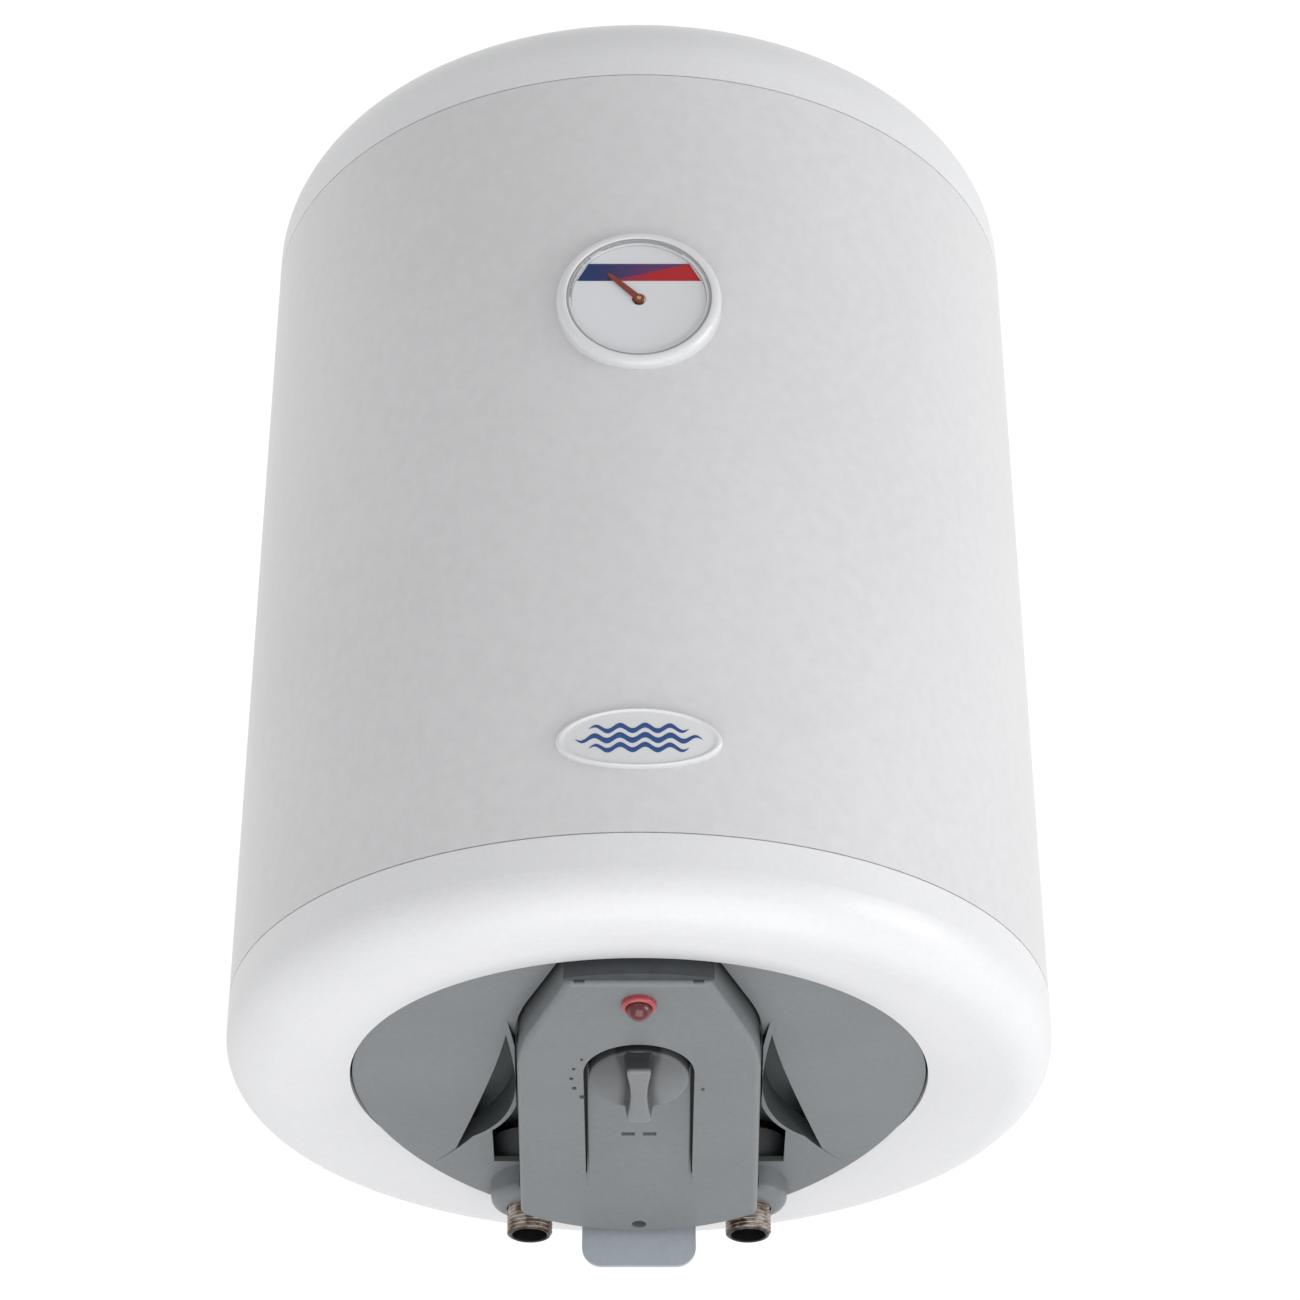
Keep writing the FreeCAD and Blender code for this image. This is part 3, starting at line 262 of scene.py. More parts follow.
def dish_plastic(name, light, dark, front_y):
    """The ring's plastic. Its upright walls in front of front_y are painted darker than the faces that look
    down, since they stand in narrow gaps."""
    finish = Finish(name)
    here = finish.place()
    x, y, z = finish.axes(here)
    facing = finish.node("ShaderNodeNewGeometry", out="Normal")
    side = finish.size_of(finish.axes(facing)[2])
    across = finish.size_of(x)
    upright = 1.0 - finish.step(side, 0.35, 0.85)
    ahead = 1.0 - finish.step(y, front_y - 0.004, front_y + 0.002)
    near = ahead * (1.0 - finish.step(across, *RIB_REACH))
    flow = finish.noise(here, 14.0, 3.0, 0.55)
    speck = finish.noise(here, 380.0, 2.0)
    unshaded = finish.blend(finish.step(flow * 0.6 + speck * 0.4, 0.30, 0.70), dark, light)
    shaded = finish.blend(upright * near * 0.93, unshaded, (0.052, 0.060, 0.062))
    return finish.close(Base_Color=shaded, Roughness=0.42 + 0.12 * (flow - 0.5),
                        Normal=finish.bump(finish.cells(here, 900.0) + speck * 0.5, 0.25, 0.0002))


def console_plastic(name, light, dark, out, face_level):
    """The console's plastic, with painted shade round the knob, in the grooves, in the screw hole and on the
    flanks. How deep a point lies is the level of the face less its distance along out."""
    finish = Finish(name)
    here = finish.place()
    x, y, z = finish.axes(here)
    depth = face_level - (y * out[1] + z * out[2])
    across = finish.size_of(x)
    ahead = finish.step(y, *(RECESS_Y + edge for edge in SHADE_FRONT))
    ahead = ahead * (1.0 - finish.step(y, *(RECESS_Y + edge for edge in SHADE_REAR)))
    groove = finish.step(across, *GROOVE_INNER)
    inner = 1.0 - finish.step(across, *GROOVE_OUTER)
    hollow = finish.step(depth, 0.0004, 0.0020) * (ahead + groove).clamped() * inner
    facing = finish.node("ShaderNodeNewGeometry", out="Normal")
    sideways = finish.size_of(finish.axes(facing)[0])
    flank = finish.step(sideways, 0.5, 0.9) * finish.step(depth, 0.004, 0.014)
    from_screw = (x * x + (y - SCREW_Y) * (y - SCREW_Y)) ** 0.5
    hole = 1.0 - finish.step(from_screw, *SCREW_HOLE)
    sunk = hole * finish.step(depth, 0.0003, 0.0010)
    shade = (hollow * 0.94 + flank * 0.75 + sunk * 0.9).clamped()
    flow = finish.noise(here, 14.0, 3.0, 0.55)
    speck = finish.noise(here, 380.0, 2.0)
    unshaded = finish.blend(finish.step(flow * 0.6 + speck * 0.4, 0.30, 0.70), dark, light)
    return finish.close(Base_Color=finish.blend(shade, unshaded, (0.012, 0.014, 0.015)),
                        Roughness=0.42 + 0.12 * (flow - 0.5) + 0.3 * hollow,
                        Normal=finish.bump(finish.cells(here, 900.0) + speck * 0.5, 0.25, 0.0002))


def knob_plastic(name, light, dark, foot, out):
    """The knob's plastic. The disc has painted shade beside the bar, and towards its front and its left."""
    finish = Finish(name)
    here = finish.place()
    x, y, z = finish.axes(here)
    height = (x - foot[0]) * out[0] + (y - foot[1]) * out[1] + (z - foot[2]) * out[2]
    across = finish.size_of(x)
    along = (y - foot[1]) / 0.020
    waist = 0.0042 + 0.0024 * (along * along)
    beside = 1.0 - finish.step(across - waist, 0.0, 0.0050)
    low = 1.0 - finish.step(height, 0.0140, 0.0166)
    front = 1.0 - finish.step(along, -1.1, 0.7)
    left = 1.0 - finish.step(x, -0.016, 0.010)
    shade = (low * (beside * 0.62 + front * 0.55 + left * 0.22)).clamped()
    flow = finish.noise(here, 30.0, 3.0, 0.55)
    speck = finish.noise(here, 500.0, 2.0)
    unshaded = finish.blend(finish.step(flow * 0.5 + speck * 0.5, 0.30, 0.70), dark, light)
    return finish.close(Base_Color=finish.blend(shade, unshaded, (0.030, 0.033, 0.036)),
                        Roughness=0.38 + 0.12 * (flow - 0.5),
                        Normal=finish.bump(finish.cells(here, 1100.0) + speck * 0.5, 0.2, 0.00015))


# %% Metals
def plated(name, light, dark, rough=0.32, streak=(300.0, 300.0, 60.0), metallic=1.0):
    """Turned or rolled metal under a thin plating: drawn streaks and dull patches."""
    finish = Finish(name)
    here = finish.place()
    drawn = finish.node("ShaderNodeVectorMath", {"operation": "MULTIPLY"}, {0: here, 1: streak})
    lines = finish.noise(drawn, 1.0, 3.0, 0.6)
    patch = finish.noise(here, 90.0, 3.0, 0.6)
    share = finish.step(lines * 0.5 + patch * 0.5, 0.35, 0.65)
    return finish.close(Base_Color=finish.blend(share, dark, light), Metallic=metallic,
                        Roughness=rough + 0.18 * (patch - 0.5) + 0.1 * (lines - 0.5),
                        Normal=finish.bump(lines, 0.15, 0.0002))


def zinc_coated(name):
    """Hot-dip zinc with its spangle of flat crystals."""
    finish = Finish(name)
    here = finish.place()
    crystal = finish.node("ShaderNodeTexVoronoi", {}, {"Vector": here, "Scale": 150.0}, out="Color")
    tone = finish.node("ShaderNodeRGBToBW", {}, {0: crystal})
    dull = finish.noise(here, 40.0, 3.0)
    return finish.close(Base_Color=finish.blend(tone, (0.42, 0.44, 0.46), (0.62, 0.64, 0.66)), Metallic=0.9,
                        Roughness=0.34 + 0.2 * (dull - 0.5) + 0.12 * (tone - 0.5))


# %% Glass enamel, foam, rubber and wire
def glass_enamel(name):
    """Dark blue glass lining with pale specks and a fired gloss."""
    finish = Finish(name)
    here = finish.place()
    cloud = finish.noise(here, 30.0, 3.0)
    speck = finish.step(finish.cells(here, 420.0), 0.10, 0.22)
    base = finish.blend(cloud, (0.010, 0.022, 0.060), (0.020, 0.050, 0.120))
    return finish.close(Base_Color=finish.blend(speck, (0.35, 0.40, 0.48), base),
                        Roughness=0.16 + 0.1 * cloud, Coat_Weight=0.6,
                        Normal=finish.bump(cloud, 0.1, 0.0005))


def rigid_foam(name, shade_top):
    """Yellow rigid foam with its open cells, painted dark below shade_top to stand for shade."""
    finish = Finish(name)
    here = finish.place()
    x, y, z = finish.axes(here)
    cloud = finish.noise(here, 22.0, 4.0, 0.6)
    cell = finish.cells(here, 700.0, "DISTANCE_TO_EDGE")
    base = finish.blend(cloud, (0.62, 0.44, 0.16), (0.78, 0.62, 0.30))
    foam = finish.blend(finish.step(cell, 0.0, 0.12), (0.80, 0.68, 0.42), base)
    # The dark grey-green tone of the painted shade on the foam's low part.
    foam_shade = finish.blend(cloud, (0.100, 0.122, 0.126), (0.140, 0.165, 0.172))
    return finish.close(Base_Color=finish.blend(finish.step(z, shade_top, shade_top + 0.002), foam_shade, foam),
                        Roughness=0.9 - 0.1 * cloud, Normal=finish.bump(cell, 0.6, 0.0008))


def rubber(name, dark=(0.012, 0.012, 0.012), light=(0.040, 0.040, 0.042)):
    """Rubber with a little bloom, black unless it is given other tones."""
    finish = Finish(name)
    here = finish.place()
    bloom = finish.noise(here, 120.0, 4.0, 0.65)
    return finish.close(Base_Color=finish.blend(bloom, dark, light), Roughness=0.62 + 0.2 * bloom,
                        Normal=finish.bump(bloom, 0.3, 0.0002))


def wire_cover(name):
    """The leads' coloured insulation: blue to the left, brown to the right and yellow-green at the back."""
    finish = Finish(name)
    here = finish.place()
    x, y, z = finish.axes(here)
    ring = finish.node("ShaderNodeMath", {"operation": "SINE"}, {0: z * 900.0})
    earth = finish.blend(finish.step(ring, -0.2, 0.2), (0.10, 0.36, 0.04), (0.75, 0.62, 0.03))
    sides = finish.blend(finish.step(x, 0.002, 0.003), (0.02, 0.10, 0.45), (0.13, 0.045, 0.018))
    back = finish.step(y, -0.158, -0.157)
    dust = finish.noise(here, 500.0, 2.0)
    return finish.close(Base_Color=finish.blend(back, sides, earth), Roughness=0.38 + 0.15 * dust,
                        Normal=finish.bump(dust, 0.1, 0.0001))


# %% Prints, lamp, window and nipples
def printed(name, left, right, left_x=-0.03, right_x=0.03):
    """Screen-printed ink that fades from one colour at left_x to another at right_x, with a fine stipple."""
    finish = Finish(name)
    here = finish.place()
    x, y, z = finish.axes(here)
    stipple = finish.noise(here, 2600.0, 1.0)
    across = (x - left_x) / (right_x - left_x)
    share = finish.step(across + 0.12 * (stipple - 0.5), 0.0, 1.0)
    return finish.close(Base_Color=finish.blend(share, left, right), Roughness=0.55 + 0.1 * stipple,
                        Specular_IOR_Level=0.12)


def lamp_red(name, dark=(0.60, 0.045, 0.055), light=(0.74, 0.085, 0.095), painted_glow=0.06):
    """Red polycarbonate with a milky scatter and a faint painted glow that lightens it."""
    finish = Finish(name)
    here = finish.place()
    haze = finish.noise(here, 900.0, 2.0)
    base = finish.blend(haze, dark, light)
    return finish.close(Base_Color=base, Roughness=0.20 + 0.12 * haze, Coat_Weight=0.5,
                        Subsurface_Weight=0.12, Subsurface_Radius=(0.003, 0.001, 0.001),
                        Emission_Color=base, Emission_Strength=painted_glow, Normal=finish.bump(haze, 0.1, 0.0002))


def clear_window(name):
    """Clear styrene: nearly nothing but a trace of haze and gloss."""
    finish = Finish(name)
    here = finish.place()
    haze = finish.noise(here, 60.0, 3.0)
    finish.material.surface_render_method = "BLENDED"
    return finish.close(Base_Color=(0.50, 0.55, 0.60), Roughness=0.05 + 0.06 * haze,
                        Alpha=0.012 + 0.01 * haze)


NIPPLE_SIDE = 50 * MM
NIPPLE_Y = -95 * MM


def nipple_finish(name, low_z):
    """Plated steel nipple: pale with brown stains and darker at its low end, with painted shade that makes
    the bore nearly black.
    """
    finish = Finish(name)
    here = finish.place()
    x, y, z = finish.axes(here)
    stain = finish.noise(here, 150.0, 3.0, 0.6)
    grime = finish.noise(here, 420.0, 2.0)
    side = finish.size_of(x)
    radius = ((side - NIPPLE_SIDE) * (side - NIPPLE_SIDE) + (y - NIPPLE_Y) * (y - NIPPLE_Y)) ** 0.5
    # The bore is painted nearly black: painted shade inside the pipe.
    inside = 1.0 - finish.step(radius, 0.0080, 0.0086)
    metal = finish.blend(finish.step(stain, 0.35, 0.65), (0.16, 0.10, 0.07), (0.55, 0.50, 0.46))
    low_end = 1.0 - finish.step(z, low_z + 0.0006, low_z + 0.0016)
    low_end_darkened = finish.blend((low_end * 0.75).clamped(), metal, (0.020, 0.018, 0.017))
    base = finish.blend(inside, low_end_darkened, (0.010, 0.010, 0.010))
    return finish.close(Base_Color=base, Metallic=0.85 - 0.6 * inside, Roughness=0.30 + 0.25 * grime,
                        Normal=finish.bump(grime, 0.15, 0.0001))


# %% Where the knob sits
joint_of = {joint["name"]: joint for joint in frame["joints"]}
knob_joint = joint_of["knob_turn"]
knob_foot = np.array(knob_joint["pos_m"])
knob_out = np.array(knob_joint["axis"])
FACE_SLOPE = 0.12
face_out = np.array([0.0, -FACE_SLOPE, -1.0]) / math.hypot(1.0, FACE_SLOPE)


def points_of(name):
    """All points of a CAD node, one row each."""
    vertices = nodes[name].data.vertices
    flat = np.empty(len(vertices) * 3, np.float32)
    vertices.foreach_get("co", flat)
    return flat.reshape(-1, 3).astype(float)


face_level = float((points_of("service_cover") @ face_out).max())
print("console face", round(face_level / MM, 2), "mm out along its normal")

# %% One finish for each material slot of the frame
finishes = {
    "white_enamel": stoved_paint("stoved_white_paint", (0.655, 0.655, 0.668), (0.610, 0.610, 0.622)),
    "white_plastic": moulded("white_cap_plastic", (0.725, 0.728, 0.740), (0.690, 0.693, 0.705), rough=0.40,
                             coat=0.15),
    "grey_plastic": dish_plastic("grey_ring_plastic", (0.196, 0.210, 0.219), (0.172, 0.185, 0.193), -0.113),
    "knob_plastic": knob_plastic("grey_knob_plastic", (0.208, 0.220, 0.228), (0.186, 0.197, 0.205),
                                 knob_foot, knob_out),
    "hood_plastic": moulded("pale_hood_plastic", (0.385, 0.420, 0.460), (0.348, 0.382, 0.420), rough=0.4),
    "mark_ink": printed("grey_mark_ink", (0.06, 0.065, 0.07), (0.09, 0.095, 0.10)),
    "red_lamp": lamp_red("red_lamp_plastic", (0.30, 0.040, 0.048), (0.38, 0.062, 0.070)),
    "nipple_metal": plated("nipple_plating", (0.42, 0.36, 0.31), (0.20, 0.15, 0.12), 0.30,
                           (60.0, 60.0, 500.0)),
    "tank_enamel": glass_enamel("blue_glass_enamel"),
    "foam": rigid_foam("yellow_rigid_foam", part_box("insulation_foam")[0].z + 0.03),
    "plated_steel": plated("zinc_plated_steel", (0.66, 0.66, 0.64), (0.48, 0.48, 0.46)),
    "hanger_steel": zinc_coated("galvanised_hanger"),
    "black_rubber": rubber("black_rubber"),
    "element_copper": plated("copper_sheath", (0.72, 0.36, 0.22), (0.42, 0.18, 0.11), 0.34),
    "brass": plated("turned_brass", (0.74, 0.56, 0.26), (0.52, 0.37, 0.16), 0.28),
    "magnesium": plated("cast_magnesium", (0.52, 0.52, 0.50), (0.34, 0.34, 0.33), 0.55,
                        (120.0, 120.0, 120.0)),
    "inner_plastic": moulded("natural_pipe_plastic", (0.78, 0.77, 0.72), (0.70, 0.69, 0.64), rough=0.45),
    "switch_plastic": moulded("black_switch_plastic", (0.030, 0.030, 0.032), (0.016, 0.016, 0.018),
                              rough=0.35),
    "button_red": moulded("red_button_plastic", (0.55, 0.03, 0.03), (0.42, 0.02, 0.02), rough=0.35),
    "ceramic_block": moulded("cream_terminal_block", (0.74, 0.71, 0.64), (0.66, 0.63, 0.56), rough=0.5),
    "lead_insulation": wire_cover("lead_insulation"),
    "gauge_white": moulded("white_bezel_plastic", (0.690, 0.694, 0.708), (0.655, 0.659, 0.672), rough=0.26,
                           coat=0.3),
    "dial_grey": printed("grey_dial_print", (0.695, 0.708, 0.735), (0.680, 0.684, 0.700)),
    "scale_blue": printed("blue_scale_print", (0.008, 0.030, 0.120), (0.110, 0.030, 0.120), -0.024, 0.012),
    "scale_red": printed("red_scale_print", (0.260, 0.022, 0.040), (0.430, 0.010, 0.012), -0.010, 0.014),
    "gauge_window": clear_window("clear_gauge_window"),
    "pointer_red": printed("red_pointer_paint", (0.235, 0.045, 0.030), (0.200, 0.032, 0.022)),
    "badge_white": moulded("white_badge_plastic", (0.690, 0.694, 0.705), (0.655, 0.659, 0.670), rough=0.24,
                           coat=0.4),
    "badge_blue": printed("blue_badge_ink", (0.040, 0.090, 0.250), (0.036, 0.080, 0.220)),
}
# The front seal is dark rubber, and its dark strip in front of the console also stands for the shade in that
# gap.
seal_and_shade_rubber = rubber("front_seal_shade_rubber", (0.030, 0.034, 0.038), (0.070, 0.077, 0.083))
console_grey = console_plastic("grey_console_plastic", (0.190, 0.204, 0.212), (0.166, 0.179, 0.187),
                               face_out, face_level)
blackened = plated("blackened_screw", (0.022, 0.022, 0.023), (0.012, 0.012, 0.013), 0.6, metallic=0.0)
slot_of = {name: piece.data.materials[0].name for name, piece in nodes.items()}
for name, piece in nodes.items():
    piece.data.materials[0] = finishes[slot_of[name]]
nodes["front_seal"].data.materials[0] = seal_and_shade_rubber
nodes["service_cover"].data.materials[0] = console_grey
nodes["cover_screw"].data.materials[0] = blackened
print("finishes:", len(finishes), "for", len(set(slot_of.values())), "slots")

# %% [markdown]
# ## Surfaces from whole arrays
# A new piece here is a grid of points: a profile carried round an axis, an outline carried up through
# levels, or a stroke along a line. The grids are worked out as arrays. One helper turns them into a mesh,
# merges the poles, turns the faces outwards and hangs the piece on its body in the frame.

# %% Grids into pieces
def cell_corners(rows, columns, wrap_rows, wrap_columns):
    """The four corner numbers of each cell of a grid; a wrapped side joins its last line to its first."""
    row = np.arange(rows if wrap_rows else rows - 1)
    column = np.arange(columns if wrap_columns else columns - 1)
    row, column = np.meshgrid(row, column, indexing="ij")
    next_row = (row + 1) % rows
    next_column = (column + 1) % columns
    corners = [row * columns + column, row * columns + next_column,
               next_row * columns + next_column, next_row * columns + column]
    return np.stack(corners, -1).reshape(-1, 4)


def make_piece(name, grids, finish, body, replaced=(), wrap_rows=False, wrap_columns=True, crease=40):
    """A smooth mesh from grids of points, with its edges sharp past the crease angle in degrees."""
    points, faces, count = [], [], 0
    for grid in grids:
        rows, columns = grid.shape[:2]
        points.append(grid.reshape(-1, 3))
        faces.append(cell_corners(rows, columns, wrap_rows, wrap_columns) + count)
        count += rows * columns
    mesh = bpy.data.meshes.new(name)
    mesh.from_pydata(np.concatenate(points).tolist(), [], np.concatenate(faces).tolist())
    work = bmesh.new()
    work.from_mesh(mesh)
    bmesh.ops.remove_doubles(work, verts=work.verts, dist=2e-6)
    bmesh.ops.recalc_face_normals(work, faces=work.faces)
    work.to_mesh(mesh)
    work.free()
    mesh.polygons.foreach_set("use_smooth", np.ones(len(mesh.polygons), bool))
    mesh.set_sharp_from_angle(angle=math.radians(crease))
    mesh.materials.append(finish)
    piece = bpy.data.objects.new(name, mesh)
    bpy.context.scene.collection.objects.link(piece)
    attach(piece, body)
    if replaced:
        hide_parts(*replaced)
    print(name, len(mesh.vertices), "points,", len(mesh.polygons), "faces")


def full_turn(count):
    """Angles round a full turn, without the repeated last one."""
    return np.linspace(0, 2 * np.pi, count, endpoint=False)


def arc(centre, radius, start, end, count=9):
    """Points on an arc, from its centre, its radius and two angles in degrees."""
    turn = np.radians(np.linspace(start, end, count))
    return np.stack([centre[0] + radius * np.cos(turn), centre[1] + radius * np.sin(turn)], -1)


def turned(profile, origin, axis, side, count=96):
    """A profile of (radius, distance along the axis) carried round the axis: radius times the turning
    direction, plus distance times the axis."""
    profile = np.asarray(profile, float)
    axis = np.asarray(axis, float)
    side = np.asarray(side, float)
    turn = full_turn(count)
    around = np.outer(np.cos(turn), side) + np.outer(np.sin(turn), np.cross(axis, side))
    return (np.asarray(origin, float) + profile[:, None, 0, None] * around
            + profile[:, None, 1, None] * axis)


def smooth(value):
    """0 to 1 with level ends: three squares less two cubes."""
    value = np.clip(value, 0, 1)
    return value * value * (3 - 2 * value)


CASING_AXIS_Y = -0.192
CASING_RADIUS = 0.180


def casing_front(x, lift=0.0):
    """Depth of the casing's front at a side distance x, a lift in front of it: the axis less the root of
    the squared radius less the squared distance."""
    return CASING_AXIS_Y - np.sqrt((CASING_RADIUS + lift) ** 2 - x ** 2)


# %% [markdown]
# ## Control knob
# The knob is a flat disc with a grip bar across it. The bar is what fingers know it by: wide at its ends,
# waisted in the middle, with flanks that lean in towards a narrow top. A box with bevels would miss both
# curves, so the bar is one outline carried up through levels, shrinking as it goes.

# %% Knob disc and grip bar
knob_side = np.array([1.0, 0.0, 0.0])
knob_back = np.cross(knob_side, knob_out)
DISC_RADIUS = 21.2 * MM
DISC_LOW = 0.6 * MM
DISC_TOP = 8.0 * MM
BORE_RADIUS = 3.1 * MM


def grip_level(height, end_half, waist_half, half_length, count=120):
    """One level of the bar: a rounded oblong, side = width(v) * |sin|^0.3 and along = length * |cos|^0.3,
    whose width grows from the waist to the ends with the square of the distance along."""
    turn = full_turn(count)
    along = half_length * np.sign(np.cos(turn)) * np.abs(np.cos(turn)) ** 0.3
    width = waist_half + (end_half - waist_half) * (along / half_length) ** 2
    side = width * np.sign(np.sin(turn)) * np.abs(np.sin(turn)) ** 0.3
    return (knob_foot + side[:, None] * knob_side + along[:, None] * knob_back + height * knob_out)


BAR_LEVELS = [
    (7.0, 7.2, 5.6, 20.4),
    (8.0, 7.2, 5.5, 20.4),
    (8.5, 7.0, 5.2, 20.2),
    (11.0, 6.6, 4.4, 19.9),
    (13.6, 6.3, 3.8, 19.6),
    (15.4, 6.1, 3.5, 19.3),
    (16.2, 5.9, 3.3, 19.0),
    (16.7, 5.4, 2.9, 18.4),
    (16.9, 4.6, 2.3, 17.4),
    (16.9, 2.0, 1.0, 9.0),
    (16.9, 0.0, 0.0, 0.001),
]
bar = np.stack([grip_level(height * MM, end * MM, waist * MM, half * MM)
                for height, end, waist, half in BAR_LEVELS])
foot_ring = np.broadcast_to(knob_foot + (DISC_TOP - 1.0 * MM) * knob_out, (1, bar.shape[1], 3))
bar = np.concatenate([foot_ring, bar])
disc_profile = np.concatenate([
    [[BORE_RADIUS, DISC_LOW], [DISC_RADIUS - 0.4 * MM, DISC_LOW]],
    arc((DISC_RADIUS - 0.4 * MM, DISC_LOW + 0.4 * MM), 0.4 * MM, -90, 0, 4),
    arc((DISC_RADIUS - 1.6 * MM, DISC_TOP - 1.6 * MM), 1.6 * MM, 0, 90, 8),
    [[DISC_RADIUS - 3.0 * MM, DISC_TOP], [0.0, DISC_TOP]],
])
bore = [[0.0, 7.0 * MM], [BORE_RADIUS, 7.0 * MM], [BORE_RADIUS, DISC_LOW]]
disc_profile = np.concatenate([bore, disc_profile])
disc = turned(disc_profile, knob_foot, knob_out, knob_side, 120)
knob_finish = finishes["knob_plastic"]
make_piece("knob", [disc, bar], knob_finish, "knob", ["control_knob"])

# %% [markdown]
# ## Pilot lamp
# A red ring holds a round-nosed lens of a deeper red. Both are turned shapes about the console face's
# normal, so a profile carried round the axis is enough.

# %% Lamp ring and lens
LAMP_RADIUS = 7.2 * MM
RING_HEIGHT = 2.8 * MM
RING_BORE = 5.4 * MM
LENS_RADIUS = 5.35 * MM
DOME_HEIGHT = 7.8 * MM
lens_points = points_of("lamp_lens")
lens_tip = (lens_points @ face_out).max()
lamp_foot = lens_points.mean(axis=0)
lamp_foot = lamp_foot + (lens_tip - lamp_foot @ face_out - DOME_HEIGHT) * face_out
ring_profile = np.concatenate([
    [[RING_BORE, -6.0 * MM], [6.3 * MM, -6.0 * MM], [6.3 * MM, -0.3 * MM], [LAMP_RADIUS, -0.3 * MM]],
    arc((LAMP_RADIUS - 1.3 * MM, RING_HEIGHT - 1.3 * MM), 1.3 * MM, 0, 90, 10),
    arc((RING_BORE + 0.4 * MM, RING_HEIGHT - 0.4 * MM), 0.4 * MM, 90, 180, 5),
])
ring = turned(ring_profile, lamp_foot, face_out, knob_side, 72)
make_piece("lamp_ring", [ring], finishes["red_lamp"], "heater", ["lamp_bezel"], wrap_rows=True)
lens_profile = np.concatenate([
    [[0.0, -5.0 * MM], [LENS_RADIUS, -5.0 * MM]],
    arc((0.0, DOME_HEIGHT - LENS_RADIUS), LENS_RADIUS, 0, 90, 20),
])
lens = turned(lens_profile, lamp_foot, face_out, knob_side, 72)
core_red = lamp_red("deep_red_lens", (0.085, 0.003, 0.006), (0.120, 0.005, 0.009), 0.0)
make_piece("lamp_lens_dome", [lens], core_red, "heater", ["lamp_lens"])

# %% [markdown]
# ## Thermometer
# A low domed bezel lies against the curved casing, so its outer wall is as deep as the casing falls away
# behind it. Inside it a grey seal, a clear window, a red hand and a printed dial follow from front to back.

# %% Bezel, seal and window
gauge = np.array(joint_of["pointer_turn"]["pos_m"])
toward_viewer = np.array([0.0, -1.0, 0.0])
bezel_low, bezel_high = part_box("gauge_bezel")
BEZEL_FRONT = bezel_low.y
BEZEL_RADIUS = (bezel_high.z - bezel_low.z) / 2
BEZEL_BORE = 31.5 * MM
window_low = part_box("gauge_lens")[0]


def bezel_grid(count=160):
    """The bezel's skin: up the bore, over a round crown and down to the casing, whose depth at each side
    distance closes the outer wall."""
    crown = 3.4 * MM
    lip = arc((BEZEL_BORE + 0.7 * MM, 0.7 * MM), 0.7 * MM, 180, 270, 6)
    dome = arc((BEZEL_RADIUS - crown, crown), crown, 270, 360, 16)
    profile = np.concatenate([[[BEZEL_BORE, 3.0 * MM]], lip, dome])
    turn = full_turn(count)
    radius = np.concatenate([profile[:, 0], [BEZEL_RADIUS, BEZEL_BORE + 0.2 * MM, BEZEL_BORE]])
    x = np.outer(radius, np.sin(turn))
    z = np.outer(radius, np.cos(turn)) + gauge[2]
    y = np.broadcast_to((BEZEL_FRONT + profile[:, 1])[:, None], (len(profile), count))
    wall = casing_front(x[-3:], -0.15 * MM)
    return np.stack([x, np.concatenate([y, wall]), z], -1)


make_piece("thermometer_bezel", [bezel_grid()], finishes["gauge_white"], "heater",
           ["gauge_bezel"], wrap_rows=True)
SEAL_MIDDLE = 31.0 * MM
seal_turn = full_turn(12)
seal_profile = np.stack([SEAL_MIDDLE + 0.45 * MM * np.cos(seal_turn), 0.35 * MM * np.sin(seal_turn)], -1)
seal_centre = np.array([0.0, window_low.y + 0.45 * MM, gauge[2]])
seal = turned(seal_profile, seal_centre, toward_viewer, knob_side, 160)
grey_rubber = rubber("grey_window_seal", (0.30, 0.30, 0.31), (0.38, 0.38, 0.39))
make_piece("window_seal", [seal], grey_rubber, "heater", wrap_rows=True)
WINDOW_RADIUS = 30.5 * MM
window_profile = np.concatenate([
    [[0.0, -0.8 * MM], [WINDOW_RADIUS, -0.8 * MM]],
    arc((WINDOW_RADIUS - 0.3 * MM, -0.3 * MM), 0.3 * MM, 0, 90, 5),
    [[WINDOW_RADIUS * 0.6, 0.0], [0.0, 0.0]],
])
window = turned(window_profile, (0.0, window_low.y, gauge[2]), toward_viewer, knob_side, 160)
make_piece("thermometer_window", [window], finishes["gauge_window"], "heater", ["gauge_lens"])

# %% [markdown]
# ## Badge
# The badge is a curved oval plate with a raised rim, and three blue wave strokes stand for the
# water in the tank. Each point starts flat, in the oval, and is then laid on the casing's curve.

# %% Plate and waves
badge_low, badge_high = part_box("badge_plate")
badge_z = (badge_low.z + badge_high.z) / 2
BADGE_HALF_WIDTH = (badge_high.x - badge_low.x) / 2
BADGE_HALF_HEIGHT = (badge_high.z - badge_low.z) / 2
PLATE_LIFT = 2.0 * MM


def on_casing(x, z, lift):
    """Points laid on the casing's front with a lift."""
    return np.stack([x, casing_front(x, lift), z], -1)


share = np.concatenate([[1.0, 1.0], np.linspace(0.995, 0.90, 12), np.linspace(0.88, 0.0, 16)])
lift = np.interp(share, [0.0, 0.70, 0.895, 0.915, 0.95, 0.98, 0.995, 1.0],
                 np.array([2.0, 2.0, 2.0, 2.4, 2.85, 2.6, 2.0, 1.2]) * MM)
lift[0] = -0.1 * MM
badge_turn = full_turn(160)
badge_x = np.outer(share, np.cos(badge_turn)) * BADGE_HALF_WIDTH
badge_height = np.outer(share, np.sin(badge_turn)) * BADGE_HALF_HEIGHT + badge_z
badge = on_casing(badge_x, badge_height, lift[:, None])
make_piece("oval_badge", [badge], finishes["badge_white"], "heater", ["badge_plate"],
           crease=60)


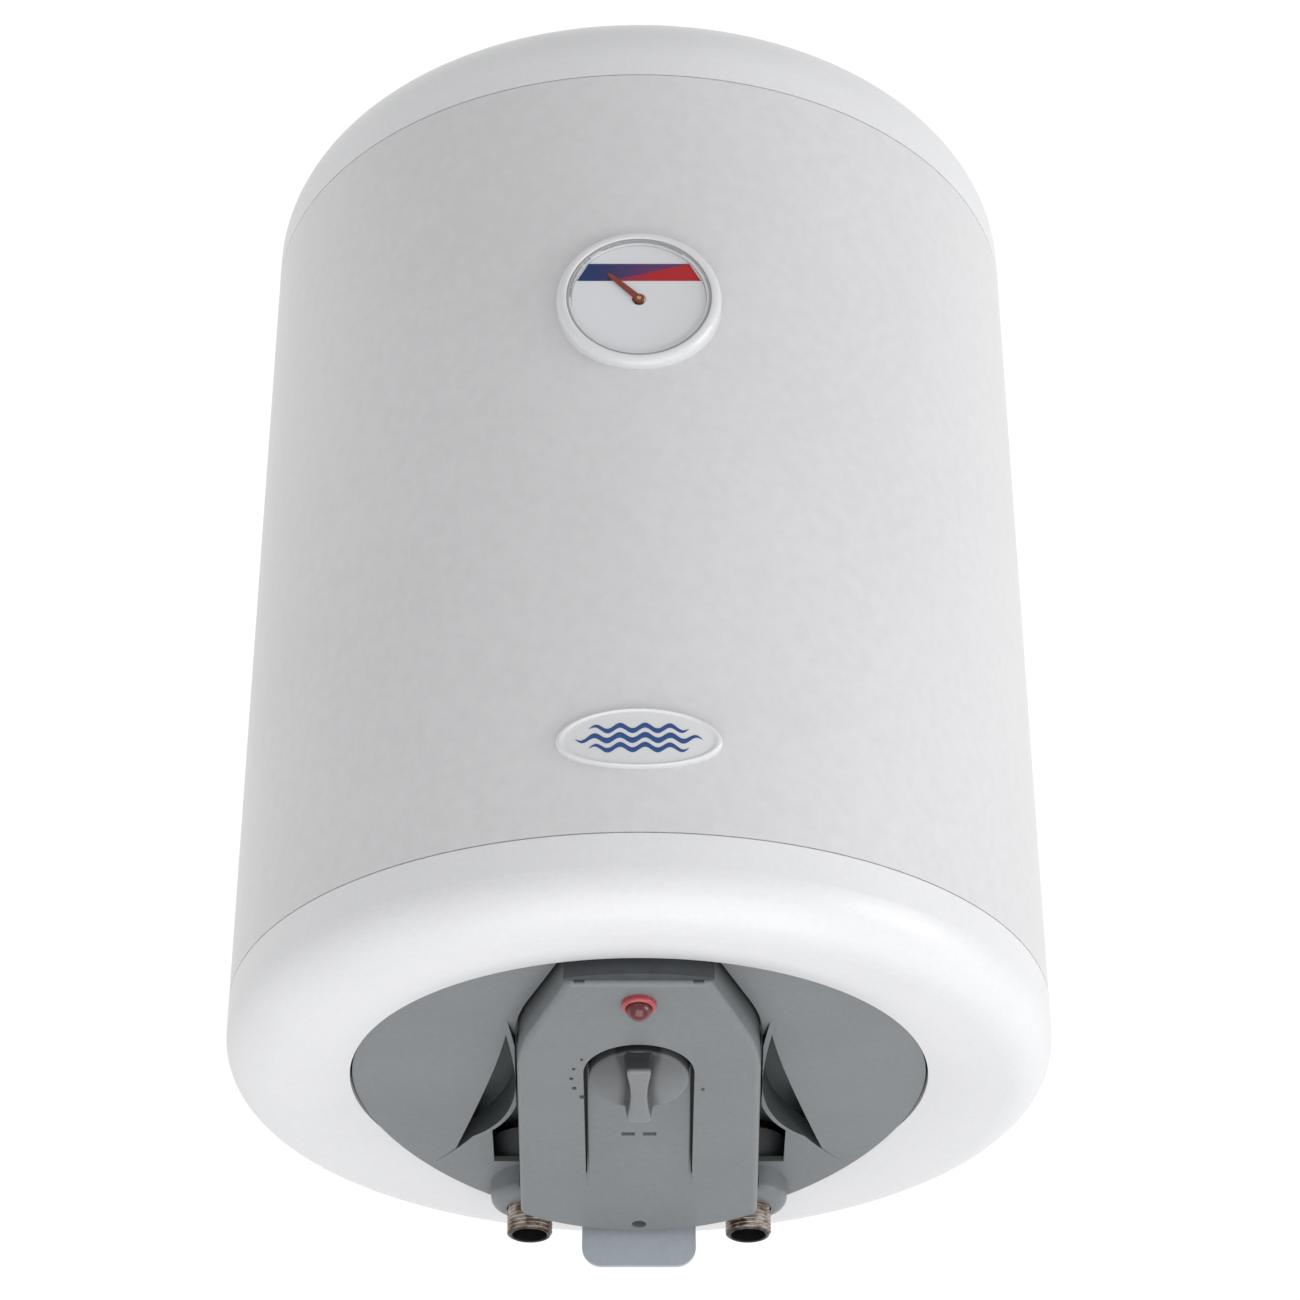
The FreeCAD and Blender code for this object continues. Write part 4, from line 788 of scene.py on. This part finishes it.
def wave_stroke(level, half_length, crests, half_width):
    """A ribbon along a sine line, level plus swing times sine, whose width fades to nothing at both ends
    and whose middle is a little higher than its edges."""
    along = np.linspace(-1, 1, 120)
    across = np.array([-1.0, -0.8, 0.0, 0.8, 1.0])
    width = half_width * (1 - np.abs(along) ** 6)
    line = level + 1.25 * MM * np.sin(np.pi * crests * along)
    x = np.broadcast_to((along * half_length)[:, None], (len(along), len(across)))
    z = badge_z + line[:, None] + width[:, None] * across
    top = on_casing(x, z, PLATE_LIFT + 0.25 * MM * (1 - across ** 8)[None, :] + 0.03 * MM)
    under = on_casing(x, z, PLATE_LIFT - 0.2 * MM)
    return np.concatenate([top, under[:, ::-1]], axis=1)


waves = [wave_stroke(4.4 * MM, 20.0 * MM, 4, 1.15 * MM), wave_stroke(0.0, 25.5 * MM, 5, 1.3 * MM),
         wave_stroke(-4.4 * MM, 20.0 * MM, 4, 1.15 * MM)]
make_piece("badge_waves", waves, finishes["badge_blue"], "heater", ["badge_emblem"])

# %% [markdown]
# ## Water nipples
# Each nipple ends in a half-inch pipe thread. The ridges are real shapes here: the radius follows a
# triangle wave of the height less the turn, which winds it into a helix.

# %% Threaded nipples
THREAD_OUT = 10.4 * MM
THREAD_DEPTH = 1.1 * MM
THREAD_PITCH = 1.814 * MM
THREAD_LENGTH = 13.0 * MM
STEM_RADIUS = 10.0 * MM
WATER_BORE = 8.0 * MM


def nipple_grid(x, y, low, high, count=96, rows=112):
    """Closed skin of a nipple: up the threaded outside, over the top, down the bore and back."""
    turn = full_turn(count)
    height = np.linspace(0.0, THREAD_LENGTH, rows)
    phase = height[:, None] / THREAD_PITCH - turn[None, :] / (2 * np.pi)
    ridge = np.abs(2 * (phase - np.floor(phase)) - 1)
    fade = smooth(height / (1.2 * MM)) * smooth((THREAD_LENGTH - height) / (1.5 * MM))
    ridge = np.clip(ridge * 1.3 - 0.15, 0, 1)
    outside = THREAD_OUT - THREAD_DEPTH * (1 - ridge * fade[:, None])
    chamfer = np.full((1, count), THREAD_OUT - THREAD_DEPTH - 0.5 * MM)
    stem = np.full((2, count), STEM_RADIUS)
    inner = np.full((2, count), WATER_BORE)
    radius = np.concatenate([chamfer, outside, stem, inner])
    level = np.concatenate([[0.0], np.maximum(height, 0.3 * MM), [THREAD_LENGTH + 0.3 * MM, high - low],
                            [high - low, 0.4 * MM]])
    return np.stack([x + radius * np.cos(turn), y + radius * np.sin(turn),
                     np.broadcast_to((low + level)[:, None], radius.shape)], -1)


for name in ("cold_nipple", "hot_nipple"):
    low_corner, high_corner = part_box(name)
    middle = (low_corner + high_corner) / 2
    grid = nipple_grid(middle.x, middle.y, low_corner.z, high_corner.z)
    plating = nipple_finish(name + "_plating", low_corner.z)
    make_piece(name + "_threaded", [grid], plating, "heater", [name], wrap_rows=True)

# %% [markdown]
# ## Studio
# A pale floor far below the heater, a white surround, one large soft lamp low in front, and a smaller
# one at the right. White goods need the surround more than the lamps: it fills the shadows.

# %% Floor and surround
FLOOR_DROP = 2.2
floor_z = cad_low.z - FLOOR_DROP
reach = 6.0
floor_mesh = bpy.data.meshes.new("floor")
floor_mesh.from_pydata([(-reach, -reach, floor_z), (reach, -reach, floor_z), (reach, reach, floor_z),
                        (-reach, reach, floor_z)], [], [(0, 1, 2, 3)])
floor = bpy.data.objects.new("floor", floor_mesh)
bpy.context.scene.collection.objects.link(floor)
floor_finish = Finish("pale_floor")
floor_grain = floor_finish.noise(floor_finish.place(), 3.0, 3.0)
floor_mesh.materials.append(floor_finish.close(
    Base_Color=floor_finish.blend(floor_grain, (0.80, 0.80, 0.80), (0.84, 0.84, 0.84)), Roughness=0.8))

world = bpy.data.worlds.new("white_surround")
world.use_nodes = True
bpy.context.scene.world = world
surround = Network(world.node_tree)
direction = surround.node("ShaderNodeTexCoord", out="Generated")
behind = surround.step(surround.axes(direction)[1], -0.3, 0.4)
strength = 0.67 + 0.35 * behind
backdrop = surround.node("ShaderNodeBackground", {}, {"Color": (1.0, 1.0, 1.0, 1.0), "Strength": strength})
surround.node("ShaderNodeOutputWorld", {}, {"Surface": backdrop})
print("floor at", round(floor_z, 3), "m")

# %% Lamps
def soft_lamp(name, place, target, size, power):
    """A square area lamp at a place, turned to face a target."""
    data = bpy.data.lights.new(name, "AREA")
    data.size = size
    data.energy = power
    lamp = bpy.data.objects.new(name, data)
    bpy.context.scene.collection.objects.link(lamp)
    lamp.location = place
    aim = np.subtract(target, place)
    yaw = math.atan2(aim[0], -aim[1])
    pitch = math.atan2(aim[2], math.hypot(aim[0], aim[1]))
    lamp.rotation_euler = (math.pi / 2 + pitch, 0, yaw + math.pi)
    lamp.visible_camera = False


centre = (cad_low + cad_high) / 2
soft_lamp("low_front_lamp", (0.1, -0.75, -1.45), centre, 1.4, 9.8)
soft_lamp("right_lamp", (1.7, -0.9, -0.3), centre, 1.0, 12.0)

# %% [markdown]
# ## Camera
# The heater is seen from below, as by someone standing in front of it: the camera is 1.5 m in front of
# the wall, well below the heater, and tilted up by 31 degrees.

# %% Camera
LENS_LENGTH = 89.64
TILT_UP = 31.07
camera_data = bpy.data.cameras.new("camera")
camera_data.sensor_width = 36.0
camera_data.lens = LENS_LENGTH
camera_data.shift_x = 0.0085
camera = bpy.data.objects.new("camera", camera_data)
bpy.context.scene.collection.objects.link(camera)
camera.location = (0.0, -1.5006, -0.9263)
camera.rotation_euler = (math.radians(90 + TILT_UP), 0, 0)
bpy.context.scene.camera = camera
bpy.context.scene.view_settings.view_transform = "Standard"
